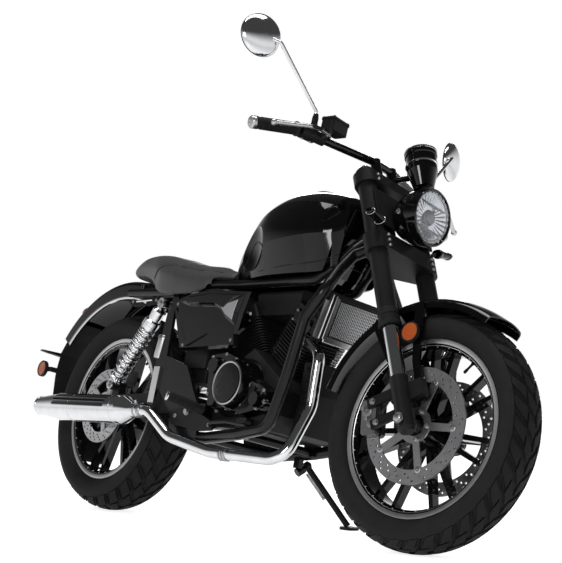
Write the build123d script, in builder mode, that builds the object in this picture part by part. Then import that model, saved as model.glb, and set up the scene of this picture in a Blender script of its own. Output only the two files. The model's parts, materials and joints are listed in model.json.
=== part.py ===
"""Cruiser motorcycle with a V-twin engine, parked leaning on its side stand, in millimetres.

Every piece is drawn on the upright machine: +X forward, +Y to the rider's left, +Z up, with the
rear axle over X = 0 and the ground at Z = 0. At the end the front end is turned to its parked
steering angle, and the whole machine is leaned on to both tyres and the stand's foot.
"""

from build123d import *
import os
from math import acos, asin, atan2, cos, degrees, radians, sin, sqrt, tan

# ---------------------------------------------------------------- chassis geometry
WHEELBASE = 1385.0
RAKE = 25.0  # steering axis from the vertical
TRAIL = 100.0  # steering axis ahead of the front tyre's contact, at the ground
LEAN = 12.0  # to the left, on the side stand
STEER_PARKED = 7.8  # to the left
STEER_LIMIT = 35.0  # to each side
SEAT_GAP = 0.3  # between pieces that rest on each other

# ---------------------------------------------------------------- wheels and brakes
FRONT_TYRE_RADIUS = 307.0
FRONT_TYRE_WIDTH = 130.0
REAR_TYRE_RADIUS = 320.0
REAR_TYRE_WIDTH = 160.0
BEAD_RADIUS = 216.0
RIM_LIP_RADIUS = 230.0
RIM_LIP_THICKNESS = 4.0
RIM_WALL = 10.0
FRONT_RIM_WIDTH = 92.0
REAR_RIM_WIDTH = 118.0
SHOULDER_REACH = 0.92  # of a tyre's half width
SHOULDER_DROP = 0.36
TYRE_WALL = 9.0
TYRE_TREAD = 13.0
SPOKE_PAIRS = 7
SPOKE_SPREAD = 9.0  # angle from the middle of a pair to each of its spokes
SPOKE_ROOT_WIDTH = 17.0
SPOKE_TIP_WIDTH = 12.0
SPOKE_DEPTH = 26.0
FRONT_HUB_RADIUS = 34.0
FRONT_HUB_LENGTH = 124.0
REAR_HUB_RADIUS = 46.0
REAR_HUB_LENGTH = 172.0
FRONT_DISC_RADIUS = 150.0
FRONT_DISC_BORE = 113.0
REAR_DISC_RADIUS = 120.0
REAR_DISC_BORE = 86.0
DISC_THICKNESS = 5.0
DISC_CENTRE_RADIUS = 46.0
DISC_ARM_WIDTH = 20.0
DISC_ARMS = 5
DISC_HOLES = 24  # in each ring
DISC_HOLE_RINGS = 3
DISC_HOLE_RADIUS = 3.2
AXLE_RADIUS = 10.0
SPROCKET_RADIUS = 92.0
TOOTH_HEIGHT = 6.0
SPROCKET_THICKNESS = 6.0
CHAIN_WIDTH = 14.0
CHAIN_HEIGHT = 14.0

# ---------------------------------------------------------------- front end
FORK_SPREAD = 105.0  # from the middle plane to each fork leg
FORK_TUBE_RADIUS = 26.0
FORK_SEAL_RADIUS = 29.0
STANCHION_RADIUS = 20.5
FORK_FOOT_RADIUS = 24.0
FORK_TOP = 752.0  # along the leg from the front axle
UPPER_CLAMP_AT = 722.0
LOWER_CLAMP_AT = 518.0
UPPER_CLAMP_HEIGHT = 34.0
LOWER_CLAMP_HEIGHT = 52.0
CLAMP_WALL = 9.0
SEAL_AT = 268.0
SEAL_HEIGHT = 24.0
FOOT_TOP = 120.0
HEAD_TUBE_RADIUS = 31.0
STEM_RADIUS = 16.0
STEM_CLEARANCE = 0.5
HEAD_CLEARANCE = 5.0
BAR_RADIUS = 11.0
GRIP_RADIUS = 16.5
RISER_RADIUS = 15.0
RISER_SPREAD = 45.0
HEADLIGHT_RADIUS = 77.0
HEADLIGHT_DEPTH = 118.0
GAUGE_RADIUS = 45.0
GAUGE_DEPTH = 112.0
MIRROR_RADIUS = 60.0
MIRROR_DEPTH = 26.0

# ---------------------------------------------------------------- frame, engine and body
DOWNTUBE_RADIUS = 17.0
RAIL_RADIUS = 14.0
RAIL_HEIGHT = 702.0  # of the rails' middle below the tank
CROSS_TUBE_RADIUS = 12.0
PIVOT_X = 505.0
PIVOT_Z = 335.0
PIVOT_RADIUS = 12.0
SWINGARM_SPREAD = 124.0
SWINGARM_WALL = 24.0
SHOCK_SPREAD = 150.0
CRANK_X = 765.0
CRANK_Z = 380.0
CASE_HALF_WIDTH = 116.0
CYLINDER_LEAN = 32.0  # each cylinder from the vertical
DECK = 100.0  # from the crankshaft to the cylinders' feet
FIN_COUNT = 13
FIN_PITCH = 9.5
FIN_THICKNESS = 3.2
FENDER_WALL = 3.0
FRONT_FENDER_RADIUS = FRONT_TYRE_RADIUS + 33
FRONT_FENDER_EDGE_RADIUS = FRONT_TYRE_RADIUS - 2
FRONT_FENDER_HALF_WIDTH = 74.0
FRONT_FENDER_FROM = 60.0
FRONT_FENDER_TO = 166.0
REAR_FENDER_RADIUS = 428.0
REAR_FENDER_HALF_WIDTH = 88.0
REAR_FENDER_EDGE_RADIUS = 357.0
REAR_FENDER_FROM = 66.0
REAR_FENDER_TO = 146.0
RADIATOR_HALF_WIDTH = 112.0
HEADER_RADIUS = 16.5
MUFFLER_RADIUS = 43.0

# ---------------------------------------------------------------- worked out from those
REAR_AXLE = Vector(0, 0, REAR_TYRE_RADIUS)
FRONT_AXLE = Vector(WHEELBASE, 0, FRONT_TYRE_RADIUS)
FORK_UP = Vector(-sin(radians(RAKE)), 0, cos(radians(RAKE)))
FORK_AHEAD = Vector(cos(radians(RAKE)), 0, sin(radians(RAKE)))
STEER_AXIS = Axis((WHEELBASE + TRAIL, 0, 0), FORK_UP)
FORK_OFFSET = FRONT_TYRE_RADIUS * sin(radians(RAKE)) - TRAIL * cos(radians(RAKE))
SIDES = (-1, 1)  # right, left


os.makedirs("parts", exist_ok=True)
bodies = {"chassis": [], "steering": [], "front_wheel": [], "rear_wheel": [], "side_stand": []}


def keep(body, name, *shapes):
    """Labels a finished piece and files it with the body that it moves with."""
    piece = shapes[0] if len(shapes) == 1 else Compound(children=list(shapes))
    piece.label = name
    bodies[body].append(piece)


def fork_point(ahead, left, up):
    """Point given along the fork's own directions from the front axle."""
    return FRONT_AXLE + FORK_AHEAD * ahead + Vector(0, left, 0) + FORK_UP * up


def fork_plane(ahead, left, up):
    """Plane across the fork: local X is ahead, local Y is to the left."""
    return Plane(origin=fork_point(ahead, left, up), x_dir=FORK_AHEAD, z_dir=FORK_UP)


def fork_side_plane(left):
    """Plane along the fork, facing right: local X is ahead, local Y is up the fork."""
    return Plane(origin=fork_point(0, left, 0), x_dir=FORK_AHEAD, z_dir=(0, -1, 0))


def wheel_plane(axle, angle):
    """Plane through an axle: local X is to the left, local Y is outwards at this angle from +X."""
    return Plane(origin=axle, x_dir=(0, 1, 0), z_dir=(sin(radians(angle)), 0, -cos(radians(angle))))


def head_point(x, y, z):
    """Point given from the middle of the upper clamp on the steering axis."""
    head = fork_point(-FORK_OFFSET, 0, UPPER_CLAMP_AT)
    return (head.X + x, y, head.Z + z)


def side_plane(left, x=0.0, z=0.0):
    """Plane facing right at this distance to the left: local X is forward, local Y is up."""
    return Plane(origin=(x, left, z), x_dir=(1, 0, 0), z_dir=(0, -1, 0))


def tube(points, bend, radius):
    """Round bar along straight runs joined by bends."""
    with BuildPart() as bar:
        with BuildLine() as path:
            if len(points) > 2:
                FilletPolyline(*points, radius=bend)
            else:
                Line(*points)
        with BuildSketch(Plane(origin=path.line @ 0, z_dir=path.line % 0)):
            Circle(radius)
        sweep()
    return bar.part


def mirrored(points, side):
    """The points with their distance to the left times the side."""
    return [(x, side * y, z) for x, y, z in points]


# ================================================================ parking
X_AXIS = Axis((0, 0, 0), (1, 0, 0))
Y_AXIS = Axis((0, 0, 0), (0, 1, 0))


def park(point, steered=False, direction=False):
    """A point or direction of the upright machine, turned and leaned to its parked place."""
    if steered:
        origin = Vector() if direction else STEER_AXIS.position
        point = origin + (point - origin).rotate(STEER_AXIS, STEER_PARKED)
    return point.rotate(X_AXIS, -LEAN).rotate(Y_AXIS, PITCH)


def lowest(axle, steered, radius, width):
    """Height of a leaned tyre's lowest point."""
    crown = width / 2 * (SHOULDER_REACH**2 + SHOULDER_DROP**2) / (2 * SHOULDER_DROP)
    across = park(Vector(0, 1, 0), steered, True)
    return park(axle, steered).Z - (radius - crown) * sqrt(1 - across.Z**2) - crown


PITCH = 0.0
FRONT_LOW = lowest(FRONT_AXLE, True, FRONT_TYRE_RADIUS, FRONT_TYRE_WIDTH)
REAR_LOW = lowest(REAR_AXLE, False, REAR_TYRE_RADIUS, REAR_TYRE_WIDTH)
PITCH = degrees(asin((FRONT_LOW - REAR_LOW) / WHEELBASE))


def floor_at(x, y):
    """Height on the upright machine of the floor that it leans over."""
    low = REAR_LOW + (FRONT_LOW - REAR_LOW) * x / WHEELBASE
    return (low + y * sin(radians(LEAN))) / cos(radians(LEAN))


# ================================================================ wheels
def make_tyre(axle, radius, width, rim_width):
    """Round-shouldered tyre, hollow and open along its beads."""
    half = width / 2
    bead = rim_width / 2 - RIM_LIP_THICKNESS - SEAT_GAP
    foot = BEAD_RADIUS + SEAT_GAP
    shoulder = (SHOULDER_REACH * half, radius - SHOULDER_DROP * half)
    belly = (half, 0.45 * radius + 0.55 * BEAD_RADIUS)
    with BuildPart() as tyre:
        with BuildSketch(wheel_plane(axle, 0)):
            with BuildLine():
                ThreePointArc((-shoulder[0], shoulder[1]), (0, radius), shoulder)
                for side in SIDES:
                    ThreePointArc(
                        (side * shoulder[0], shoulder[1]),
                        (side * belly[0], belly[1]),
                        (side * bead, RIM_LIP_RADIUS + 1),
                    )
                    Line((side * bead, RIM_LIP_RADIUS + 1), (side * bead, foot))
                    Polyline(
                        (side * bead, foot),
                        (side * (bead - TYRE_WALL), foot),
                        (side * (half - TYRE_WALL - 1), belly[1]),
                        (side * (half - TYRE_WALL - 6), radius - TYRE_TREAD - 0.4 * half),
                    )
                inner = (half - TYRE_WALL - 6, radius - TYRE_TREAD - 0.4 * half)
                ThreePointArc((-inner[0], inner[1]), (0, radius - TYRE_TREAD), inner)
            make_face()
        revolve(axis=Axis(axle, (0, 1, 0)))
    return tyre.part


def make_rim(axle, rim_width, hub_radius, hub_length):
    """Cast wheel: a barrel with two lips, a hub, and slim spokes in pairs."""
    half = rim_width / 2
    lip = half - RIM_LIP_THICKNESS
    inner = BEAD_RADIUS - RIM_WALL
    with BuildPart() as rim:
        with BuildSketch(wheel_plane(axle, 0)):
            with BuildLine():
                Polyline(
                    (-half, RIM_LIP_RADIUS), (-lip, RIM_LIP_RADIUS), (-lip, BEAD_RADIUS), (lip, BEAD_RADIUS),
                    (lip, RIM_LIP_RADIUS), (half, RIM_LIP_RADIUS), (half, BEAD_RADIUS), (lip - 8, inner),
                    (8 - lip, inner), (-half, BEAD_RADIUS), close=True,
                )
            make_face()
        revolve(axis=Axis(axle, (0, 1, 0)))
        with BuildSketch(Plane(origin=axle, x_dir=(1, 0, 0), z_dir=(0, -1, 0))):
            for pair in range(SPOKE_PAIRS):
                for side in SIDES:
                    angle = 360 / SPOKE_PAIRS * pair + 90 + side * SPOKE_SPREAD
                    with Locations(Location((0, 0, 0), (0, 0, 1), angle)):
                        Polygon(
                            (0.8 * hub_radius, -SPOKE_ROOT_WIDTH / 2), (inner + 3, -SPOKE_TIP_WIDTH / 2),
                            (inner + 3, SPOKE_TIP_WIDTH / 2), (0.8 * hub_radius, SPOKE_ROOT_WIDTH / 2),
                            align=None,
                        )
        extrude(amount=SPOKE_DEPTH / 2, both=True)
        with BuildSketch(Plane(origin=axle, z_dir=(0, 1, 0))):
            Circle(hub_radius)
        extrude(amount=hub_length / 2, both=True)
        with BuildSketch(Plane(origin=axle, z_dir=(0, 1, 0))):
            Circle(AXLE_RADIUS + SEAT_GAP)
        extrude(amount=hub_length, both=True, mode=Mode.SUBTRACT)
    return rim.part


def make_disc(axle, outer, bore, left):
    """Brake disc: a ring on slim arms from its centre, which is bolted to the hub."""
    band = outer - bore
    with BuildPart() as disc:
        with BuildSketch(side_plane(left, axle.X, axle.Z)):
            Circle(outer)
            Circle(bore, mode=Mode.SUBTRACT)
            for ring in range(DISC_HOLE_RINGS):
                radius = bore + band * (ring + 1) / (DISC_HOLE_RINGS + 1)
                turn = ring * 360 / DISC_HOLES / DISC_HOLE_RINGS
                with PolarLocations(radius, DISC_HOLES, start_angle=turn):
                    Circle(DISC_HOLE_RADIUS, mode=Mode.SUBTRACT)
        extrude(amount=DISC_THICKNESS / 2, both=True)
        with BuildSketch(side_plane(left, axle.X, axle.Z)):
            Circle(DISC_CENTRE_RADIUS)
            with PolarLocations((bore + DISC_CENTRE_RADIUS) / 2, DISC_ARMS):
                Rectangle(bore - DISC_CENTRE_RADIUS + 12, DISC_ARM_WIDTH)
            Circle(0.6 * DISC_CENTRE_RADIUS, mode=Mode.SUBTRACT)
        extrude(amount=DISC_THICKNESS / 2, both=True)
    return disc.part


def make_wheels():
    """Both wheels, each with its tyre, cast rim and discs; the rear one with its sprocket."""
    keep("front_wheel", "front_tyre", make_tyre(FRONT_AXLE, FRONT_TYRE_RADIUS, FRONT_TYRE_WIDTH, FRONT_RIM_WIDTH))
    keep("front_wheel", "front_rim", make_rim(FRONT_AXLE, FRONT_RIM_WIDTH, FRONT_HUB_RADIUS, FRONT_HUB_LENGTH))
    offset = FRONT_HUB_LENGTH / 2 + SEAT_GAP + DISC_THICKNESS / 2
    discs = [make_disc(FRONT_AXLE, FRONT_DISC_RADIUS, FRONT_DISC_BORE, side * offset) for side in SIDES]
    keep("front_wheel", "front_discs", *discs)
    keep("rear_wheel", "rear_tyre", make_tyre(REAR_AXLE, REAR_TYRE_RADIUS, REAR_TYRE_WIDTH, REAR_RIM_WIDTH))
    keep("rear_wheel", "rear_rim", make_rim(REAR_AXLE, REAR_RIM_WIDTH, REAR_HUB_RADIUS, REAR_HUB_LENGTH))
    offset = REAR_HUB_LENGTH / 2 + SEAT_GAP + DISC_THICKNESS / 2
    keep("rear_wheel", "rear_disc", make_disc(REAR_AXLE, REAR_DISC_RADIUS, REAR_DISC_BORE, -offset))
    with BuildPart() as sprocket:
        with BuildSketch(side_plane(REAR_HUB_LENGTH / 2 + SEAT_GAP + SPROCKET_THICKNESS / 2, 0, REAR_AXLE.Z)):
            Circle(SPROCKET_RADIUS - TOOTH_HEIGHT)
            Circle(AXLE_RADIUS + 8, mode=Mode.SUBTRACT)
        extrude(amount=SPROCKET_THICKNESS / 2, both=True)
    keep("rear_wheel", "rear_sprocket", sprocket.part)


# ================================================================ front end
CALIPER_OUTER = FRONT_HUB_LENGTH / 2 + SEAT_GAP + DISC_THICKNESS / 2 + 25


def make_fork():
    """Two upside-down fork legs, each with its seal ring, stanchion and foot."""
    for side, name in zip(SIDES, ("fork_right", "fork_left")):
        left = side * FORK_SPREAD
        with BuildPart() as leg:
            with BuildSketch(fork_side_plane(left)):
                with BuildLine():
                    Polyline(
                        (0, -30), (FORK_FOOT_RADIUS - 6, -30), (FORK_FOOT_RADIUS, -20), (FORK_FOOT_RADIUS, FOOT_TOP),
                        (STANCHION_RADIUS, FOOT_TOP), (STANCHION_RADIUS, SEAL_AT), (FORK_SEAL_RADIUS, SEAL_AT),
                        (FORK_SEAL_RADIUS, SEAL_AT + SEAL_HEIGHT), (FORK_TUBE_RADIUS, SEAL_AT + SEAL_HEIGHT),
                        (FORK_TUBE_RADIUS, FORK_TOP), (FORK_TUBE_RADIUS - 8, FORK_TOP + 6), (0, FORK_TOP + 6),
                        close=True,
                    )
                make_face()
            revolve(axis=Axis(fork_point(0, left, 0), FORK_UP))
            with BuildSketch(fork_side_plane(left)):
                with Locations((36, 74)):
                    Rectangle(56, 44)
            extrude(amount=side * 24, both=False)
            with BuildSketch(fork_side_plane(side * (CALIPER_OUTER + SEAT_GAP))):
                with Locations((-58, 92)):
                    Rectangle(104, 26)
                with Locations((-58, 34)):
                    Rectangle(104, 24)
            extrude(amount=-side * 10)
            with BuildSketch(Plane(origin=fork_point(0, left, 0), z_dir=(0, 1, 0))):
                Circle(AXLE_RADIUS + SEAT_GAP)
            extrude(amount=60, both=True, mode=Mode.SUBTRACT)
        keep("steering", name, leg.part)


def clamp_outline(grow=0.0, turn=0.0):
    """Clamp seen along the fork: its two eyes and the stem's boss in one hull, about the stem."""
    reach = sqrt(FORK_OFFSET**2 + FORK_SPREAD**2)
    swing = degrees(atan2(FORK_SPREAD, FORK_OFFSET))
    with BuildSketch() as outline:
        with BuildLine():
            for side in SIDES:
                angle = radians(turn + side * swing)
                eye = (reach * cos(angle), reach * sin(angle))
                CenterArc(eye, FORK_TUBE_RADIUS + CLAMP_WALL + grow, 0, 360)
            CenterArc((0, 0), HEAD_TUBE_RADIUS + grow, 0, 360)
        make_hull()
    return outline.sketch


clamp_shapes = []


def make_clamps():
    """Upper and lower fork clamps on the steering stem."""
    with BuildPart() as clamps:
        for middle, height in ((LOWER_CLAMP_AT, LOWER_CLAMP_HEIGHT), (UPPER_CLAMP_AT, UPPER_CLAMP_HEIGHT)):
            with BuildSketch(fork_plane(-FORK_OFFSET, 0, middle)):
                add(clamp_outline())
                with Locations((FORK_OFFSET, FORK_SPREAD), (FORK_OFFSET, -FORK_SPREAD)):
                    Circle(FORK_TUBE_RADIUS + SEAT_GAP, mode=Mode.SUBTRACT)
            extrude(amount=height / 2, both=True)
        with BuildSketch(fork_plane(-FORK_OFFSET, 0, LOWER_CLAMP_AT)):
            Circle(STEM_RADIUS)
        extrude(amount=UPPER_CLAMP_AT - LOWER_CLAMP_AT + 30)
    clamp_shapes.append(clamps.part)


BAR_POINTS = [head_point(-9, 48, 100), head_point(-40, 190, 95), head_point(-68, 298, 95), head_point(-103, 419, 64)]


def make_handlebar():
    """Handlebar on two risers, with a grip at each end."""
    right = mirrored(BAR_POINTS, -1)
    left = BAR_POINTS
    path = list(reversed(right)) + left
    bar = tube(path, 30, BAR_RADIUS)
    foot = UPPER_CLAMP_AT + UPPER_CLAMP_HEIGHT / 2 + SEAT_GAP
    with BuildPart() as risers:
        for side in SIDES:
            with BuildSketch(fork_plane(-6, side * RISER_SPREAD * 0.8, foot)):
                Circle(RISER_RADIUS)
            extrude(amount=86)
    keep("steering", "handlebar", bar + risers.part)
    grips = []
    for side in SIDES:
        inner, outer = (Vector(*point) for point in mirrored(BAR_POINTS[2:], side))
        along = (outer - inner).normalized()
        with BuildPart() as grip:
            with BuildSketch(Plane(origin=inner + along * 6, z_dir=along)):
                Circle(GRIP_RADIUS)
                Circle(BAR_RADIUS + SEAT_GAP, mode=Mode.SUBTRACT)
            extrude(amount=(outer - inner).length - 6)
            with BuildSketch(Plane(origin=outer + along * SEAT_GAP, z_dir=along)):
                Circle(GRIP_RADIUS + 1)
            extrude(amount=8)
        grips.append(grip.part)
    keep("steering", "grips", *grips)


def make_controls():
    """Right and left lever perches with their switch housings and levers."""
    controls = []
    for side in SIDES:
        inner = Vector(*mirrored([BAR_POINTS[1]], side)[0])
        outer = Vector(*mirrored([BAR_POINTS[2]], side)[0])
        along = (outer - inner).normalized()
        with BuildPart() as housing:
            with BuildSketch(Plane(origin=outer - along * 50, z_dir=along)):
                Circle(21)
                Circle(BAR_RADIUS + SEAT_GAP, mode=Mode.SUBTRACT)
            extrude(amount=44)
            with BuildSketch(Plane(origin=outer - along * 82, z_dir=along)):
                Circle(17)
                Circle(BAR_RADIUS + SEAT_GAP, mode=Mode.SUBTRACT)
            extrude(amount=32.5)
        lever_root = outer - along * 66 + Vector(34, 0, 8)
        lever_mid = lever_root + Vector(14, side * 60, -6)
        lever_tip = lever_root + Vector(-30, side * 175, -38)
        arm = tube([tuple(outer - along * 66 + Vector(15, 0, 4)), tuple(lever_root)], 1, 11)
        lever = tube([tuple(lever_root), tuple(lever_mid), tuple(lever_tip)], 60, 5.5)
        body = housing.part + arm + lever
        if side < 0:
            with BuildPart() as reservoir:
                with BuildSketch(Plane(origin=head_point(-4, -232, 105), x_dir=(1, 0, 0), z_dir=(0, 0, 1))):
                    RectangleRounded(46, 66, 8)
                extrude(amount=30)
                with BuildSketch(Plane(origin=head_point(-4, -232, 135), x_dir=(1, 0, 0), z_dir=(0, 0, 1))):
                    RectangleRounded(50, 70, 9)
                extrude(amount=7)
                chamfer(reservoir.faces().sort_by(SortBy.AREA)[-1].edges(), 1.5)
            body = body + reservoir.part
        controls.append(body)
    keep("steering", "bar_controls", *controls)


HEADLIGHT_FACE, _, HEADLIGHT_AT = head_point(200.6, 0, -56.8)


def shell_blank(extra):
    """Outer form of the headlight shell, thicker by this much."""
    with BuildPart() as blank:
        with BuildSketch(side_plane(0, HEADLIGHT_FACE - 26, HEADLIGHT_AT)):
            with BuildLine():
                EllipticalCenterArc((0, 0), HEADLIGHT_DEPTH - 26 + extra, HEADLIGHT_RADIUS + extra, 90)
                Polyline(
                    (0, HEADLIGHT_RADIUS + extra), (26, HEADLIGHT_RADIUS + extra), (26, 0),
                    (26 - HEADLIGHT_DEPTH - extra, 0),
                )
            make_face()
        revolve(axis=Axis((0, 0, HEADLIGHT_AT), (1, 0, 0)))
    return blank.part


def make_headlight():
    """Headlight shell and lens on a bracket ahead of the fork legs, and the round gauge above."""
    face = HEADLIGHT_FACE
    height = HEADLIGHT_AT
    with BuildPart() as shell:
        add(shell_blank(0))
        with BuildSketch(Plane(origin=(face, 0, height), z_dir=(1, 0, 0))):
            Circle(HEADLIGHT_RADIUS - 6)
        extrude(amount=-14, mode=Mode.SUBTRACT)
    keep("steering", "headlight_shell", shell.part)
    with BuildPart() as lens:
        with BuildSketch(Plane(origin=(face - 14 + SEAT_GAP, 0, height), z_dir=(1, 0, 0))):
            Circle(HEADLIGHT_RADIUS - 6 - SEAT_GAP)
        extrude(amount=16)
    keep("steering", "headlight_lens", lens.part)
    with BuildPart() as bracket:
        with BuildSketch(Plane(origin=fork_point(FORK_TUBE_RADIUS + SEAT_GAP, 0, 625), x_dir=(0, 1, 0), z_dir=FORK_AHEAD)):
            Rectangle(236, 110)
        extrude(amount=5)
    clamp_shapes.append(bracket.part - shell_blank(SEAT_GAP))
    keep("steering", "fork_clamps", *clamp_shapes)
    foot = Vector(*head_point(151.6, 0, 30.2))
    along = Vector(-sin(radians(20)), 0, cos(radians(20)))
    with BuildPart() as gauge:
        with BuildSketch(Plane(origin=foot, x_dir=(cos(radians(20)), 0, sin(radians(20))), z_dir=(0, -1, 0))):
            with BuildLine():
                Polyline(
                    (0, 0), (0.62 * GAUGE_RADIUS, 0), (0.94 * GAUGE_RADIUS, 0.45 * GAUGE_DEPTH),
                    (0.94 * GAUGE_RADIUS, GAUGE_DEPTH - 16), (GAUGE_RADIUS, GAUGE_DEPTH - 14),
                    (GAUGE_RADIUS, GAUGE_DEPTH), (0, GAUGE_DEPTH), close=True,
                )
            make_face()
        revolve(axis=Axis(foot, along))
    top = UPPER_CLAMP_AT + UPPER_CLAMP_HEIGHT / 2 + SEAT_GAP
    arm = tube([tuple(fork_point(18, 0, top)), tuple(fork_point(18, 0, top + 22)), tuple(foot + along * 40)], 10, 8)
    keep("steering", "gauge", gauge.part + arm)


def make_mirrors():
    """Round mirrors on bent stems from the lever perches."""
    mirrors = []
    for side in SIDES:
        back = Vector(0.95, 0.3 * side, 0.05).normalized()
        centre = Vector(*head_point(-148.4, side * 443, 314.2))
        across = Vector(0, 0, 1).cross(back).normalized()
        with BuildPart() as head:
            with BuildSketch(Plane(origin=centre, x_dir=across, z_dir=across.cross(back))):
                with BuildLine():
                    Polyline((0, MIRROR_DEPTH), (0, 0), (MIRROR_RADIUS, 0), (MIRROR_RADIUS, 5))
                    EllipticalCenterArc((0, 5), MIRROR_RADIUS, MIRROR_DEPTH - 5)
                make_face()
            revolve(axis=Axis(centre, back))
        points = mirrored(
            [head_point(-56.4, 258, 116.5), head_point(-54.4, 262, 159.2), head_point(-106.4, 402, 307.2)], side
        )
        stem = tube(points + [tuple(centre + back * 9)], 16, 5.2)
        mirrors.append(head.part + stem)
    keep("steering", "mirrors", *mirrors)


def fender_profile(half, crown, edge):
    """Section of a fender: a crowned sheet with its sides turned down."""
    with BuildSketch() as section:
        with BuildLine():
            for half_in, crown_in in ((half, crown), (half - FENDER_WALL, crown - FENDER_WALL)):
                turn = 0.8 * half_in
                for side in SIDES:
                    Line((side * half_in, edge), (side * half_in, crown_in - 24))
                    ThreePointArc(
                        (side * half_in, crown_in - 24),
                        (side * 0.95 * half_in, crown_in - 14),
                        (side * turn, crown_in - 8),
                    )
                ThreePointArc((-turn, crown_in - 8), (0, crown_in), (turn, crown_in - 8))
            for side in SIDES:
                Line((side * half, edge), (side * (half - FENDER_WALL), edge))
        make_face()
    return section.sketch


def make_front_fender():
    """Front fender over the tyre on flat stays to the fork's feet."""
    with BuildPart() as fender:
        with BuildSketch(wheel_plane(FRONT_AXLE, FRONT_FENDER_FROM)):
            add(fender_profile(FRONT_FENDER_HALF_WIDTH, FRONT_FENDER_RADIUS, FRONT_FENDER_EDGE_RADIUS))
        revolve(axis=Axis(FRONT_AXLE, (0, -1, 0)), revolution_arc=FRONT_FENDER_TO - FRONT_FENDER_FROM)
        for side in SIDES:
            with BuildSketch(side_plane(side * (FRONT_FENDER_HALF_WIDTH - 1), FRONT_AXLE.X, FRONT_AXLE.Z)):
                with BuildLine():
                    Polyline((-69, 313), (-39, 315), (-17, 163), (25, 65), (1, 55), (-40, 163), close=True)
                make_face()
                with BuildLine():
                    Polyline((-195, 253), (-170, 283), (-67, 133), (-69, 91), (-89, 93), (-95, 123), close=True)
                make_face()
            extrude(amount=-side * (FORK_SPREAD - 24 - SEAT_GAP - FRONT_FENDER_HALF_WIDTH + 1))
    keep("steering", "front_fender", fender.part)


def make_front_brakes():
    """Calipers over the back of the front discs."""
    calipers = []
    middle = FRONT_HUB_LENGTH / 2 + SEAT_GAP + DISC_THICKNESS / 2
    for side in SIDES:
        with BuildPart() as caliper:
            with BuildSketch(fork_side_plane(side * (middle + 3))):
                with Locations(Location((-119, 62, 0), (0, 0, 1), -14)):
                    RectangleRounded(46, 92, 10)
            extrude(amount=22, both=True)
            with BuildSketch(side_plane(side * middle, FRONT_AXLE.X, FRONT_AXLE.Z)):
                Circle(FRONT_DISC_RADIUS + 4)
            extrude(amount=DISC_THICKNESS / 2 + 2.5, both=True, mode=Mode.SUBTRACT)
        calipers.append(caliper.part)
    keep("steering", "front_calipers", *calipers)


def make_front_axle():
    """Front axle through both fork feet."""
    with BuildPart() as axle:
        with BuildSketch(Plane(origin=FRONT_AXLE, z_dir=(0, 1, 0))):
            Circle(AXLE_RADIUS)
        extrude(amount=FORK_SPREAD + FORK_FOOT_RADIUS + 4, both=True)
        for side in SIDES:
            with BuildSketch(Plane(origin=FRONT_AXLE + Vector(0, side * (FRONT_HUB_LENGTH / 2 + SEAT_GAP), 0), z_dir=(0, side, 0))):
                Circle(15)
            extrude(amount=FORK_SPREAD - FORK_FOOT_RADIUS - FRONT_HUB_LENGTH / 2 - 2 * SEAT_GAP)
    keep("steering", "front_axle", axle.part)


SIGNAL_AT = 562.0  # along the fork from the front axle
REFLECTOR_AT = (FRONT_AXLE.X - 52, FRONT_AXLE.Z + 232)


def make_front_lamps():
    """Front turn signals on stalks from the fork tubes, and round side reflectors."""
    signals = []
    reflectors = []
    for side in SIDES:
        out = FORK_AHEAD * 0.8 + Vector(0, side * 0.6, 0)
        root = fork_point(0, side * FORK_SPREAD, SIGNAL_AT) + out * (FORK_TUBE_RADIUS + SEAT_GAP)
        stalk = tube([tuple(root), tuple(root + out * 16)], 1, 5)
        with BuildPart() as lamp:
            seat = root + out * 22 + Vector(0, -side * 8, 0)
            with BuildSketch(Plane(origin=seat, x_dir=(1, 0, 0), z_dir=(0, side, 0.2))):
                Ellipse(17, 12)
            extrude(amount=58, taper=4)
            fillet(lamp.edges().group_by(SortBy.DISTANCE)[-1], 3)
        signals.append(lamp.part + stalk)
        inner = FORK_SPREAD - 24
        with BuildPart() as reflector:
            with BuildSketch(side_plane(side * 90, *REFLECTOR_AT)):
                Circle(25)
            extrude(amount=-side * 10)
            chamfer(reflector.edges().group_by(Axis.Y)[0 if side < 0 else -1], 2)
            with BuildSketch(side_plane(side * inner, *REFLECTOR_AT)):
                Circle(8)
            extrude(amount=-side * 12)
        reflectors.append(reflector.part)
    keep("steering", "front_signals", *signals)
    keep("steering", "front_reflectors", *reflectors)


# ================================================================ frame
DOWNTUBE = [
    head_point(56, 16, -137), head_point(4, 58, -173), head_point(2, 100, -230), head_point(10, 142, -295),
    (1000, 148, 574), (972, 148, 420), (930, 146, 270), (800, 140, 248), (640, 132, 232), (500, 128, 232),
]
DOWNTUBE_BENDS = [20, 30, 60, 60, 120, 60, 80, 80]
RAIL_SPREAD = REAR_FENDER_HALF_WIDTH + SEAT_GAP + RAIL_RADIUS
TUNNEL_SPREAD = 78.0  # of the rails below the tank
RAIL = [
    head_point(31, 20, -99), head_point(-14, 44, -145), head_point(-59, 60, -200),
    (930, TUNNEL_SPREAD, RAIL_HEIGHT), (600, TUNNEL_SPREAD, RAIL_HEIGHT), (480, RAIL_SPREAD, RAIL_HEIGHT),
    (300, RAIL_SPREAD, RAIL_HEIGHT - 18), (40, RAIL_SPREAD, RAIL_HEIGHT - 10),
]
RAIL_BENDS = [24, 40, 40, 100, 100, 200]
SHOCK_TOP = (317, 633)
SHOCK_FOOT = (125, 378)


STAND_PIVOT = Vector(756, 159, 214)
STAND_PAD = 8.0
STAND_FOOT = Vector(852, 276, floor_at(852, 276) + STAND_PAD / 2 / cos(radians(LEAN)))
STAND_DOWN = (STAND_FOOT - STAND_PIVOT).normalized()
STAND_FOLDED = Vector(-0.97, 0.16, 0.08).normalized()
stand_axis = STAND_DOWN.cross(STAND_FOLDED).normalized()


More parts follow.
